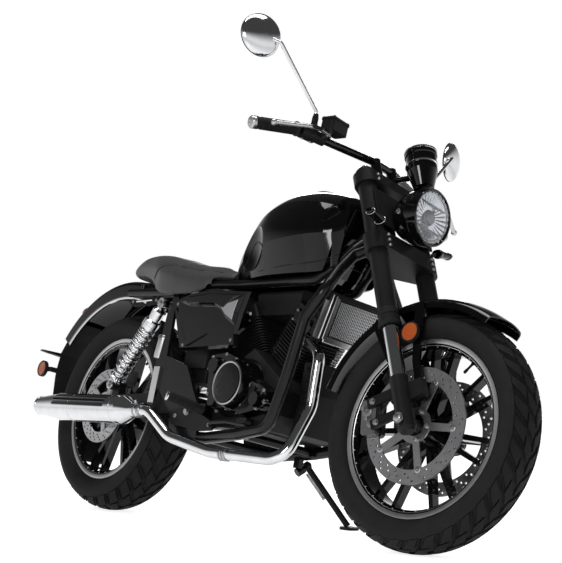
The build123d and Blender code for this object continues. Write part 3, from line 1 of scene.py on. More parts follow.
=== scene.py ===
"""Finishes, small parts and studio for a cruiser motorcycle parked on its side stand.

The CAD nodes give the main forms. This script gives every node its finish, puts treaded tyres, a
clear lens and a padded saddle in the place of four of them, adds what the solids leave out, such as
spring coils, links and bolts, and sets up the camera, the lamps and the floor.
Detail pieces are drawn in millimetres on the upright machine, with the rear axle over X = 0 and
the ground at Z = 0, and are then leaned and turned to where the parked machine has them.
"""

import json
import logging
from collections.abc import Sequence
from dataclasses import dataclass, field
from enum import Enum
from math import asin, atan2, copysign, cos, exp, hypot, radians, sin, sqrt, tau

import bmesh
import bpy
from mathutils import Matrix, Vector
from mathutils.bvhtree import BVHTree
from mathutils.kdtree import KDTree


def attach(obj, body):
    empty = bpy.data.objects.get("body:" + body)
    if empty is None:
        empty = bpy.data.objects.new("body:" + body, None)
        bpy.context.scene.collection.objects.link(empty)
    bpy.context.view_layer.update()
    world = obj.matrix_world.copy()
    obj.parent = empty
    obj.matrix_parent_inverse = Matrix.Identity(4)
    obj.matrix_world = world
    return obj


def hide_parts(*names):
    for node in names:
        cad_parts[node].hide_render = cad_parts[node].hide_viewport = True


log = logging.getLogger("motorcycle")
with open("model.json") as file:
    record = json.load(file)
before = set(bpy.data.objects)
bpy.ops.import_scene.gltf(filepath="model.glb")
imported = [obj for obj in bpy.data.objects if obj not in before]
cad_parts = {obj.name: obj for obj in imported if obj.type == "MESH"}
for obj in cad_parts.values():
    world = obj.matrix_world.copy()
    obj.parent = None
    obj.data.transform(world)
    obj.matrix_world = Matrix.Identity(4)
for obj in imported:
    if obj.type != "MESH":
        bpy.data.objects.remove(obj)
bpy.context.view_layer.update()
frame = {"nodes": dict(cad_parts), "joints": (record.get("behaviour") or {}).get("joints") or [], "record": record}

Triple = tuple[float, float, float]
Pair = tuple[float, float]
Inputs = dict[str | int, object]

# ---------------------------------------------------------------- sizes shared with the solids
WHEELBASE = 1385.0
RAKE = 25.0
TRAIL = 100.0
LEAN = 12.0
STEER_PARKED = 7.8
FRONT_TYRE_RADIUS = 307.0
REAR_TYRE_RADIUS = 320.0
MILLIMETRE = 0.001
UPPER_CLAMP_AT = 722.0
LOWER_CLAMP_AT = 518.0
SIGNAL_AT = 562.0
FRONT_HUB_HALF = 62.0
REAR_HUB_HALF = 86.0
DISC_GAP = 0.3
DISC_THICKNESS = 5.0
REFLECTOR_LEFT = 100.0

# directions and centres on the upright machine
ORIGIN = Vector((0.0, 0.0, 0.0))
AHEAD = Vector((1.0, 0.0, 0.0))
LEFT = Vector((0.0, 1.0, 0.0))
UP = Vector((0.0, 0.0, 1.0))
SIDES = (-1, 1)  # right, left
STEER_FOOT = Vector((WHEELBASE + TRAIL, 0.0, 0.0))
FORK_UP = Vector((-sin(radians(RAKE)), 0.0, cos(radians(RAKE))))
FORK_AHEAD = Vector((cos(radians(RAKE)), 0.0, sin(radians(RAKE))))
FRONT_AXLE = Vector((WHEELBASE, 0.0, FRONT_TYRE_RADIUS))
REAR_AXLE = Vector((0.0, 0.0, REAR_TYRE_RADIUS))
SHARP = 35.0  # edges that turn by more than this stay crisp


class Slot(Enum):
    """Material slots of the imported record."""

    FRAME_PAINT = "frame_paint"
    GLOSS_BLACK = "gloss_black"
    SATIN_BLACK = "satin_black"
    ENGINE_BLACK = "engine_black"
    MACHINED = "machined"
    DARK_ALLOY = "dark_alloy"
    CHROME = "chrome"
    STEEL = "steel"
    TYRE = "tyre"
    RUBBER = "rubber"
    SEAT_COVER = "seat_cover"
    BLACK_PLASTIC = "black_plastic"
    LENS = "lens"
    AMBER = "amber"
    CHAIN_STEEL = "chain_steel"


class Body(Enum):
    """Bodies of the model that a piece can ride on."""

    CHASSIS = "chassis"
    STEERING = "steering"
    FRONT_WHEEL = "front_wheel"
    REAR_WHEEL = "rear_wheel"
    SIDE_STAND = "side_stand"


# ================================================================ nodes
def set_inputs(node: bpy.types.Node, inputs: Inputs) -> None:
    """Fills a node's inputs.

    Args:
        node: The node.
        inputs: A value, or a socket to link, for each named or numbered input.
    """
    for key, value in inputs.items():
        if isinstance(value, bpy.types.NodeSocket):
            node.id_data.links.new(value, node.inputs[key])
        else:
            node.inputs[key].default_value = value


def add_node(
    tree: bpy.types.NodeTree, kind: str, inputs: Inputs | None = None, **settings: object
) -> bpy.types.Node:
    """Adds a node to a tree.

    Args:
        tree: The tree.
        kind: The node's type.
        inputs: What its inputs get, as set_inputs takes it.
        settings: Properties to set on it first.

    Returns:
        The new node.
    """
    node = tree.nodes.new(kind)
    for key, value in settings.items():
        setattr(node, key, value)
    set_inputs(node, inputs or {})
    return node


def math_node(
    tree: bpy.types.NodeTree, operation: str, *values: object, clamp: bool = False
) -> bpy.types.NodeSocket:
    """Adds a Math node to a tree.

    Args:
        tree: The tree.
        operation: What the node does.
        values: A number or a socket for each of its inputs.
        clamp: Keeps the result from 0 to 1.

    Returns:
        The node's output socket.
    """
    inputs = dict(enumerate(values))
    return add_node(tree, "ShaderNodeMath", inputs, operation=operation, use_clamp=clamp).outputs[0]


# ================================================================ shader groups
class ShaderGroup:
    """A node group with named sockets, built once and placed in many materials."""

    def __init__(self, name: str, inputs: dict[str, float], output: str) -> None:
        """Makes the empty group.

        Args:
            name: The group's name.
            inputs: Default of each number that the group takes.
            output: Name of the number that it gives.
        """
        self.tree = bpy.data.node_groups.new(name, "ShaderNodeTree")
        self.output = output
        face = self.tree.interface
        for label, value in inputs.items():
            socket = face.new_socket(label, in_out="INPUT", socket_type="NodeSocketFloat")
            socket.default_value = value
        face.new_socket(output, in_out="OUTPUT", socket_type="NodeSocketFloat")
        self.given = self.node("NodeGroupInput").outputs
        self.place = self.node("ShaderNodeTexCoord").outputs["Object"]

    def node(self, kind: str, inputs: Inputs | None = None, **settings: object) -> bpy.types.Node:
        """Adds a node to the group, as add_node does."""
        return add_node(self.tree, kind, inputs, **settings)

    def give(self, socket: bpy.types.NodeSocket) -> "ShaderGroup":
        """Ends the group with what it gives."""
        self.node("NodeGroupOutput", {self.output: socket})
        return self


def patch_group() -> ShaderGroup:
    """Soft uneven patches, from 0 to 1, as handling and dust leave on a surface.

    Returns:
        The group, which takes Scale and Contrast and gives Mask.
    """
    group = ShaderGroup("soft_patches", {"Scale": 9, "Contrast": 1}, "Mask")
    inputs = {"Detail": 5, "Roughness": 0.62, "Vector": group.place, "Scale": group.given["Scale"]}
    noise = group.node("ShaderNodeTexNoise", inputs)
    centred = math_node(group.tree, "SUBTRACT", noise.outputs["Fac"], 0.5)
    spread = math_node(group.tree, "MULTIPLY", centred, group.given["Contrast"])
    return group.give(math_node(group.tree, "ADD", spread, 0.5, clamp=True))


def grain_group() -> ShaderGroup:
    """Fine even grain, as cast metal, textured paint and moulded plastic have.

    Returns:
        The group, which takes Scale and gives Height.
    """
    group = ShaderGroup("fine_grain", {"Scale": 900}, "Height")
    inputs = {"Vector": group.place, "Scale": group.given["Scale"]}
    coarse = group.node("ShaderNodeTexNoise", {"Detail": 2, **inputs})
    cells = group.node("ShaderNodeTexVoronoi", inputs)
    return group.give(math_node(group.tree, "ADD", coarse.outputs["Fac"], cells.outputs["Distance"]))


def leather_group() -> ShaderGroup:
    """Pebbled leather.

    Returns:
        The group, which takes Scale and gives Height.
    """
    group = ShaderGroup("leather_pebble", {"Scale": 420}, "Height")
    inputs = {"Vector": group.place, "Scale": group.given["Scale"]}
    pebble = group.node("ShaderNodeTexVoronoi", inputs, feature="DISTANCE_TO_EDGE")
    domed = math_node(group.tree, "POWER", pebble.outputs["Distance"], 0.5)
    soft = group.node("ShaderNodeTexNoise", {"Scale": 60, "Detail": 3, "Vector": group.place})
    return group.give(math_node(group.tree, "ADD", domed, soft.outputs["Fac"]))


def brushed_group() -> ShaderGroup:
    """Thin streaks along the machine's length, as brushing and wiping leave on metal.

    Returns:
        The group, which takes Scale and gives Streak.
    """
    group = ShaderGroup("brushed_streaks", {"Scale": 260}, "Streak")
    stretch = group.node("ShaderNodeMapping", {"Scale": (0.05, 1, 1), "Vector": group.place})
    inputs = {"Detail": 3, "Vector": stretch.outputs["Vector"], "Scale": group.given["Scale"]}
    return group.give(group.node("ShaderNodeTexNoise", inputs).outputs["Fac"])


@dataclass
class Effects:
    """The shader groups that the finishes share."""

    patches: ShaderGroup = field(default_factory=patch_group)
    grain: ShaderGroup = field(default_factory=grain_group)
    leather: ShaderGroup = field(default_factory=leather_group)
    brushed: ShaderGroup = field(default_factory=brushed_group)


# ================================================================ finishes
class Surface(Enum):
    """What kind of fine structure a finish has."""

    SMOOTH = "smooth"
    GRAIN = "grain"
    LEATHER = "leather"
    BRUSHED = "brushed"


@dataclass(frozen=True)
class Finish:
    """How one finish looks: its colour, its sheen and its fine structure."""

    name: str
    colour: Triple
    dusty: Triple
    roughness: float
    rough_spread: float = 0.05
    metallic: float = 0.0
    coat: float = 0.0
    coat_roughness: float = 0.04
    surface: Surface = Surface.SMOOTH
    scale: float = 900.0
    depth: float = 0.0
    bump_strength: float = 0.6
    patch_scale: float = 9.0
    contrast: float = 1.4
    sheen: float = 0.0
    transmission: float = 0.0
    specular: float = 0.5

    def make(self, effects: Effects) -> bpy.types.Material:
        """Builds the finish's node material.

        Args:
            effects: The shared shader groups.

        Returns:
            The new material.
        """
        material = bpy.data.materials.new(self.name)
        material.use_nodes = True
        tree = material.node_tree
        shader = tree.nodes["Principled BSDF"]
        inputs = {"Scale": self.patch_scale, "Contrast": self.contrast}
        patches = add_node(tree, "ShaderNodeGroup", inputs, node_tree=effects.patches.tree).outputs["Mask"]
        inputs = {"A": (*self.colour, 1), "B": (*self.dusty, 1), "Factor": patches}
        tint = add_node(tree, "ShaderNodeMix", inputs, data_type="RGBA")
        inputs = {"To Min": self.roughness, "To Max": self.roughness + self.rough_spread, "Value": patches}
        rough = add_node(tree, "ShaderNodeMapRange", inputs)
        set_inputs(
            shader,
            {
                "Base Color": tint.outputs["Result"], "Roughness": rough.outputs["Result"],
                "Metallic": self.metallic, "Coat Weight": self.coat, "Coat Roughness": self.coat_roughness,
                "Sheen Weight": self.sheen, "Transmission Weight": self.transmission,
                "Specular IOR Level": self.specular,
            },
        )
        if self.surface is not Surface.SMOOTH:
            self._structure(effects, shader, rough)
        return material

    def _structure(self, effects: Effects, shader: bpy.types.Node, rough: bpy.types.Node) -> None:
        """Adds the finish's fine structure as a bump, and as streaks in the sheen of brushed metal.

        Args:
            effects: The shared shader groups.
            shader: The material's shader.
            rough: The node that gives the shader its roughness.
        """
        groups = {
            Surface.GRAIN: effects.grain, Surface.LEATHER: effects.leather, Surface.BRUSHED: effects.brushed
        }
        group, tree = groups[self.surface], shader.id_data
        fine = add_node(tree, "ShaderNodeGroup", {"Scale": self.scale}, node_tree=group.tree)
        height = fine.outputs[group.output]
        bump = add_node(
            tree, "ShaderNodeBump", {"Strength": self.bump_strength, "Distance": self.depth, "Height": height}
        )
        set_inputs(shader, {"Normal": bump.outputs["Normal"]})
        if self.surface is Surface.BRUSHED:
            set_inputs(rough, {"Value": height})


FINISHES: dict[Slot, Finish] = {
    Slot.FRAME_PAINT: Finish(
        "frame_paint", (0.004, 0.004, 0.0045), (0.009, 0.009, 0.0095), 0.2, coat=0.1, patch_scale=14.0,
        specular=0.2,
    ),
    Slot.GLOSS_BLACK: Finish(
        "gloss_black", (0.0016, 0.0016, 0.0018), (0.0035, 0.0035, 0.0038), 0.04, rough_spread=0.03, coat=0.2,
        specular=0.25,
    ),
    Slot.SATIN_BLACK: Finish(
        "satin_black", (0.006, 0.006, 0.0065), (0.013, 0.013, 0.0135), 0.36, rough_spread=0.1,
        surface=Surface.GRAIN, scale=1400.0, depth=0.00006, specular=0.16,
    ),
    Slot.ENGINE_BLACK: Finish(
        "engine_black", (0.007, 0.007, 0.0075), (0.018, 0.018, 0.0185), 0.36, rough_spread=0.12,
        surface=Surface.GRAIN, scale=1100.0, depth=0.00012, patch_scale=20.0, specular=0.16,
    ),
    Slot.MACHINED: Finish(
        "machined_alloy", (0.6, 0.6, 0.61), (0.42, 0.42, 0.43), 0.24, rough_spread=0.18, metallic=1.0,
        surface=Surface.BRUSHED, scale=420.0, depth=0.00002,
    ),
    Slot.DARK_ALLOY: Finish(
        "dark_alloy", (0.16, 0.16, 0.165), (0.24, 0.24, 0.245), 0.34, rough_spread=0.14, metallic=0.9,
        surface=Surface.GRAIN, scale=1200.0, depth=0.00008,
    ),
    Slot.CHROME: Finish(
        "chrome", (0.76, 0.77, 0.78), (0.62, 0.62, 0.64), 0.05, rough_spread=0.06, metallic=1.0,
        patch_scale=24.0,
    ),
    Slot.STEEL: Finish(
        "brushed_steel", (0.5, 0.5, 0.51), (0.36, 0.36, 0.37), 0.22, rough_spread=0.2, metallic=1.0,
        surface=Surface.BRUSHED, scale=320.0, depth=0.00002,
    ),
    Slot.TYRE: Finish(
        "tyre_rubber", (0.007, 0.007, 0.007), (0.02, 0.0195, 0.019), 0.6, rough_spread=0.2,
        surface=Surface.GRAIN, scale=1000.0, depth=0.00015, patch_scale=30.0, specular=0.16,
    ),
    Slot.RUBBER: Finish(
        "grip_rubber", (0.006, 0.006, 0.006), (0.015, 0.015, 0.015), 0.52, rough_spread=0.16,
        surface=Surface.GRAIN, scale=1600.0, depth=0.0001, specular=0.16,
    ),
    Slot.SEAT_COVER: Finish(
        "seat_leather", (0.022, 0.022, 0.0225), (0.04, 0.04, 0.0405), 0.4, rough_spread=0.14,
        surface=Surface.LEATHER, scale=340.0, depth=0.0004, sheen=0.1,
    ),
    Slot.BLACK_PLASTIC: Finish(
        "black_plastic", (0.007, 0.007, 0.0075), (0.016, 0.016, 0.0165), 0.44, rough_spread=0.14,
        surface=Surface.GRAIN, scale=1500.0, depth=0.0001, specular=0.16,
    ),
    Slot.LENS: Finish(
        "clear_lens", (0.95, 0.96, 0.98), (0.9, 0.92, 0.95), 0.02, rough_spread=0.03, transmission=1.0
    ),
    Slot.AMBER: Finish(
        "amber_reflector", (0.5, 0.1, 0.012), (0.36, 0.06, 0.01), 0.2, surface=Surface.GRAIN, scale=320.0,
        depth=0.0006, coat=0.8,
    ),
    Slot.CHAIN_STEEL: Finish(
        "chain_steel", (0.24, 0.235, 0.23), (0.1, 0.1, 0.1), 0.32, rough_spread=0.22, metallic=0.9,
        patch_scale=60.0, contrast=2.0,
    ),
}

RED_LENS = Finish("red_lens", (0.2, 0.008, 0.006), (0.14, 0.006, 0.005), 0.14, coat=0.8)


class Wardrobe:
    """Every finish as a material, and the dressing of the CAD nodes in them."""

    def __init__(self) -> None:
        """Makes the shared groups and all the materials."""
        effects = Effects()
        self.materials = {slot: finish.make(effects) for slot, finish in FINISHES.items()}
        self.red_lens = RED_LENS.make(effects)

    def dress_nodes(self) -> None:
        """Puts each CAD node in the finish of its own slot in the record."""
        for part in frame["record"]["subparts"]:
            node = frame["nodes"][part["node"]]
            slot = Slot(part["material_slot"])
            node.data.materials.clear()
            node.data.materials.append(self.materials[slot])
        log.info("dressed %d CAD nodes", len(frame["nodes"]))


# ================================================================ the parked machine's place
def joint(name: str) -> dict:
    """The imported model's joint of that name."""
    return next(row for row in frame["joints"] if row["name"] == name)


class Stance:
    """Carries points of the upright machine to where the parked machine has them."""

    def __init__(self) -> None:
        """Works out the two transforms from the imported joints."""
        spin = joint("rear_wheel_spin")
        pitch = asin(-spin["axis"][0] / sin(radians(LEAN)))
        turn = Matrix.Rotation(pitch, 4, "Y") @ Matrix.Rotation(radians(-LEAN), 4, "X")
        axle = turn @ Vector((0, 0, REAR_TYRE_RADIUS * MILLIMETRE))
        shift = Matrix.Translation(Vector(spin["pos_m"]) - axle)
        self.chassis = shift @ turn @ Matrix.Scale(MILLIMETRE, 4)
        steer = Matrix.Translation(STEER_FOOT) @ Matrix.Rotation(radians(STEER_PARKED), 4, FORK_UP)
        self.steering = self.chassis @ steer @ Matrix.Translation(-STEER_FOOT)

    def of(self, body: Body) -> Matrix:
        """The transform that belongs to a body."""
        return self.steering if body in (Body.STEERING, Body.FRONT_WHEEL) else self.chassis


# ================================================================ drawing

def fork_point(ahead: float, left: float, up: float) -> Vector:
    """Point given along the fork's own directions from the front axle."""
    return FRONT_AXLE + FORK_AHEAD * ahead + Vector((0, left, 0)) + FORK_UP * up


def head_point(x: float, y: float, z: float) -> Vector:
    """Point given from the middle of the upper clamp on the steering axis."""
    offset = FRONT_TYRE_RADIUS * sin(radians(RAKE)) - TRAIL * cos(radians(RAKE))
    head = fork_point(-offset, 0, UPPER_CLAMP_AT)
    return Vector((head.x + x, y, head.z + z))


def arc_points(first: Pair, middle: Pair, last: Pair, count: int) -> list[Pair]:
    """Evenly spaced points on the arc through three points.

    Args:
        first: Where the arc starts.
        middle: A point that it passes.
        last: Where it ends.
        count: Number of steps.

    Returns:
        The points, both ends included.
    """
    (ax, ay), (bx, by), (cx, cy) = first, middle, last
    d = 2 * (ax * (by - cy) + bx * (cy - ay) + cx * (ay - by))
    ux = ((ax**2 + ay**2) * (by - cy) + (bx**2 + by**2) * (cy - ay) + (cx**2 + cy**2) * (ay - by)) / d
    uy = ((ax**2 + ay**2) * (cx - bx) + (bx**2 + by**2) * (ax - cx) + (cx**2 + cy**2) * (bx - ax)) / d
    start, through, end = (atan2(y - uy, x - ux) for x, y in (first, middle, last))
    sweep = (end - start) % tau
    if (through - start) % tau > sweep:
        sweep -= tau
    radius = hypot(ax - ux, ay - uy)
    steps = (start + sweep * index / count for index in range(count + 1))
    return [(ux + radius * cos(angle), uy + radius * sin(angle)) for angle in steps]


def rounded(points: Sequence[Vector], bend: float, steps: int = 6) -> list[Vector]:
    """Rounds the inner corners of a path.

    Args:
        points: The path's corners.
        bend: Length cut from each run at a corner.
        steps: Number of points in a corner.

    Returns:
        The rounded path.
    """
    path = [Vector(points[0])]
    for before, corner, after in zip(points, points[1:], points[2:]):
        corner = Vector(corner)
        back, forth = Vector(before) - corner, Vector(after) - corner
        cut = min(bend, back.length * 0.48, forth.length * 0.48)
        start, end = corner + back.normalized() * cut, corner + forth.normalized() * cut
        for step in range(steps + 1):
            t = step / steps
            path.append(start * (1 - t) ** 2 + corner * 2 * t * (1 - t) + end * t**2)
    path.append(Vector(points[-1]))
    return path


def inset(outline: Sequence[Pair], amount: float) -> list[Pair]:
    """Moves each side of an outline inwards by the same amount."""
    area = sum(a[0] * b[1] - b[0] * a[1] for a, b in zip(outline, [*outline[1:], outline[0]]))
    turn = 1 if area > 0 else -1
    moved = []
    for before, corner, after in zip([outline[-1], *outline[:-1]], outline, [*outline[1:], outline[0]]):
        first = Vector((corner[0] - before[0], corner[1] - before[1])).normalized()
        second = Vector((after[0] - corner[0], after[1] - corner[1])).normalized()
        normal = Vector((-first.y - second.y, first.x + second.x)) * turn
        scale = amount / max(0.3, 1 + first.dot(second))
        moved.append((corner[0] + normal.x * scale, corner[1] + normal.y * scale))
    return moved


@dataclass(frozen=True)
class Place:
    """A flat drawing plane: its origin and its two directions."""

    origin: Vector
    across: Vector
    up: Vector

    @property
    def out(self) -> Vector:
        """The plane's normal."""
        return self.across.cross(self.up)

    def at(self, u: float, v: float, w: float = 0.0) -> Vector:
        """The point with these coordinates on the plane and above it."""
        return self.origin + self.across * u + self.up * v + self.out * w


def side_place(left: float, facing: int = -1, x: float = 0.0, z: float = 0.0) -> Place:
    """Upright plane along the machine that faces right (-1) or left (1); its up is the machine's up."""
    return Place(Vector((x, left, z)), AHEAD * -facing, UP)


class Drawing:
    """A piece drawn in millimetres on the upright machine."""

    def __init__(self) -> None:
        """Starts an empty piece."""
        self.mesh = bmesh.new()

    def skin(self, rings: Sequence[Sequence[Vector]], looped: bool = False) -> None:
        """Joins rings of points into one closed surface.

        Args:
            rings: Rings with the same number of points.
            looped: Joins the last ring to the first; otherwise both ends are capped.
        """
        rows = [[self.mesh.verts.new(point) for point in ring] for ring in rings]
        following = rows[1:] + rows[:1] if looped else rows[1:]
        for first, second in zip(rows, following):
            for index, corner in enumerate(first):
                after = (index + 1) % len(first)
                self.mesh.faces.new((corner, first[after], second[after], second[index]))
        if not looped:
            self.mesh.faces.new(tuple(reversed(rows[0])))
            self.mesh.faces.new(tuple(rows[-1]))

    def lathe(
        self, start: Vector, axis: Vector, profile: Sequence[Pair], sides: int = 48, looped: bool = False
    ) -> None:
        """Turns a profile about an axis.

        Args:
            start: The axis's zero point.
            axis: The axis's direction.
            profile: Rows of radius and distance along the axis.
            sides: Number of points around.
            looped: The profile closes on itself, as a ring's does.
        """
        along = Vector(axis).normalized()
        across = along.orthogonal().normalized()
        other = along.cross(across)
        rings = []
        for radius, rise in profile:
            spokes = (tau * index / sides for index in range(sides))
            middle = Vector(start) + along * rise
            rings.append(
                [middle + (across * cos(turn) + other * sin(turn)) * max(radius, 0.01) for turn in spokes]
            )
        self.skin(rings, looped)

    def tube(
        self, points: Sequence[Vector], radius: float, bend: float = 0.0, sides: int = 14,
        looped: bool = False,
    ) -> None:
        """Round bar along a path.

        Args:
            points: The path.
            radius: The bar's radius.
            bend: Length cut from the runs at each corner.
            sides: Number of points around.
            looped: The path closes on itself.
        """
        path = rounded(points, bend) if bend else [Vector(point) for point in points]
        ways = [(after - before).normalized() for before, after in zip(path, path[1:])]
        ways = [ways[0], *[(a + b).normalized() for a, b in zip(ways, ways[1:])], ways[-1]]
        if looped:
            ways[0] = ways[-1] = ((path[1] - path[0]) + (path[-1] - path[-2])).normalized()
            path, ways = path[:-1], ways[:-1]
        across = ways[0].orthogonal().normalized()
        rings = []
        for place, way in zip(path, ways):
            across = (across - way * across.dot(way)).normalized()
            other = way.cross(across)
            turns = (tau * index / sides for index in range(sides))
            rings.append([place + (across * cos(turn) + other * sin(turn)) * radius for turn in turns])
        self.skin(rings, looped)

    def slab(
        self, place: Place, outline: Sequence[Pair], depth: float, bevel: float = 0.0, base: float = 0.0
    ) -> None:
        """Flat piece with a bevelled outer edge.

        Args:
            place: The plane of its foot.
            outline: The foot's corners on that plane.
            depth: How far it rises.
            bevel: Size of the bevel around its top.
            base: How far its foot is above the plane.
        """
        top = inset(outline, bevel) if bevel else list(outline)
        rings = [[place.at(u, v, base) for u, v in outline]]
        if bevel:
            rings.append([place.at(u, v, base + depth - bevel) for u, v in outline])
        rings.append([place.at(u, v, base + depth) for u, v in top])
        self.skin(rings)

    def bolt(self, start: Vector, axis: Vector, radius: float, height: float, socket: bool = False) -> None:
        """Bolt head: a hexagon on a washer, or a round head with a hexagon socket.

        Args:
            start: Middle of its foot.
            axis: The way that it points.
            radius: The head's radius.
            height: The head's height.
            socket: Makes the round kind.
        """
        if socket:
            rim = [(radius, 0), (radius, height * 0.85), (radius * 0.9, height), (radius * 0.56, height)]
            self.lathe(start, axis, [*rim, (radius * 0.5, height * 0.4)], 12)
        else:
            self.lathe(start, axis, [(radius * 1.3, 0), (radius * 1.3, height * 0.2)], 16)
            self.lathe(
                start, axis, [(radius, height * 0.2), (radius, height * 0.9), (radius * 0.86, height)], 6
            )

    def box(self, place: Place, size: Triple, bevel: float = 1.0) -> None:
        """Block with bevelled edges, centred on a plane's origin.

        Args:
            place: The plane through its foot.
            size: Its width, height and depth.
            bevel: Size of the bevels.
        """
        half, high = size[0] / 2, size[1] / 2
        cut = min(bevel, half * 0.9, high * 0.9)
        outline = [
            (-half + cut, -high), (half - cut, -high), (half, -high + cut), (half, high - cut),
            (half - cut, high), (-half + cut, high), (-half, high - cut), (-half, -high + cut),
        ]
        self.slab(place, outline, size[2], cut)

    def absorb(self, other: "Drawing") -> None:
        """Takes over everything that another drawing holds."""
        spare = bpy.data.meshes.new("spare")
        other.mesh.to_mesh(spare)
        self.mesh.from_mesh(spare)
        bpy.data.meshes.remove(spare)

    def move(self, transform: Matrix) -> "Drawing":
        """Moves everything drawn so far."""
        bmesh.ops.transform(self.mesh, matrix=transform, verts=self.mesh.verts)
        return self


# ================================================================ repeats by Geometry Nodes
class NodeTree:
    """Base of the Geometry Nodes trees: their sockets, their ending and how they are applied."""

    def __init__(self, name: str, inputs: dict[str, str]) -> None:
        """Makes the tree with its sockets.

        Args:
            name: The tree's name.
            inputs: Socket type of each named input.
        """
        self.tree = bpy.data.node_groups.new(name, "GeometryNodeTree")
        face = self.tree.interface
        face.new_socket("Geometry", in_out="INPUT", socket_type="NodeSocketGeometry")
        self.sockets = {
            label: face.new_socket(label, in_out="INPUT", socket_type=kind) for label, kind in inputs.items()
        }
        face.new_socket("Geometry", in_out="OUTPUT", socket_type="NodeSocketGeometry")
        self.given = self.node("NodeGroupInput").outputs

    def node(self, kind: str, inputs: Inputs | None = None, **settings: object) -> bpy.types.Node:
        """Adds a node to the tree, as add_node does."""
        return add_node(self.tree, kind, inputs, **settings)

    def end(self, copies: bpy.types.Node) -> None:
        """Ends the tree with real meshes in one material.

        Args:
            copies: The node that makes the copies.
        """
        solid = self.node("GeometryNodeRealizeInstances", {"Geometry": copies.outputs["Instances"]})
        inputs = {"Geometry": solid.outputs["Geometry"], "Material": self.given["Material"]}
        paint = self.node("GeometryNodeSetMaterial", inputs)
        self.node("NodeGroupOutput", {"Geometry": paint.outputs["Geometry"]})

    def apply(self, drawing: Drawing, values: dict[str, object]) -> Drawing:
        """Runs the tree on a drawing.

        Args:
            drawing: What the tree is given.
            values: Value of each named input.

        Returns:
            The result as a new drawing.
        """
        mesh = bpy.data.meshes.new("unit")
        bmesh.ops.recalc_face_normals(drawing.mesh, faces=drawing.mesh.faces)
        drawing.mesh.to_mesh(mesh)
        unit = bpy.data.objects.new("unit", mesh)
        bpy.context.scene.collection.objects.link(unit)
        modifier = unit.modifiers.new("repeat", "NODES")
        modifier.node_group = self.tree
        for label, value in values.items():
            modifier[self.sockets[label].identifier] = value
        bpy.context.view_layer.update()
        evaluated = unit.evaluated_get(bpy.context.evaluated_depsgraph_get())
        plain = bpy.data.meshes.new_from_object(evaluated)
        made = Drawing()
        made.mesh.from_mesh(plain)
        unit.modifiers.clear()
        bpy.data.objects.remove(unit)
        bpy.data.meshes.remove(plain)
        return made


class RepeatTree(NodeTree):
    """Repeats a piece by turns about an axis through zero and by steps along a line."""

    def __init__(self) -> None:
        """Builds the tree."""
        super().__init__(
            "repeat_piece",
            {
                "Count": "NodeSocketInt", "Turn": "NodeSocketFloat", "Axis": "NodeSocketVector",
                "Step": "NodeSocketVector", "Material": "NodeSocketMaterial",
            },
        )
        given = self.given
        line = self.node("GeometryNodeMeshLine", {"Count": given["Count"], "Offset": given["Step"]})
        index = self.node("GeometryNodeInputIndex").outputs["Index"]
        angle = math_node(self.tree, "MULTIPLY", index, given["Turn"])
        turn = self.node("FunctionNodeAxisAngleToRotation", {"Axis": given["Axis"], "Angle": angle})
        inputs = {
            "Points": line.outputs["Mesh"], "Instance": given["Geometry"],
            "Rotation": turn.outputs["Rotation"],
        }
        self.end(self.node("GeometryNodeInstanceOnPoints", inputs))


class FollowTree(NodeTree):
    """Sets copies of a piece along a path, each one's X along it and its Y across it."""

    def __init__(self) -> None:
        """Builds the tree."""
        super().__init__(
            "follow_path",
            {"Count": "NodeSocketInt", "Piece": "NodeSocketObject", "Material": "NodeSocketMaterial"},
        )
        given = self.given
        curve = self.node("GeometryNodeMeshToCurve", {"Mesh": given["Geometry"]})
        inputs = {"Curve": curve.outputs["Curve"], "Count": given["Count"]}
        points = self.node("GeometryNodeResampleCurve", inputs)
        tangent = self.node("GeometryNodeInputTangent").outputs["Tangent"]
        piece = self.node("GeometryNodeObjectInfo", {"Object": given["Piece"]})
        turn = self.node("FunctionNodeAlignRotationToVector", {"Vector": tangent}, axis="X", pivot_axis="Y")
        inputs = {
            "Points": points.outputs["Curve"], "Instance": piece.outputs["Geometry"],
            "Rotation": turn.outputs["Rotation"],
        }
        self.end(self.node("GeometryNodeInstanceOnPoints", inputs))


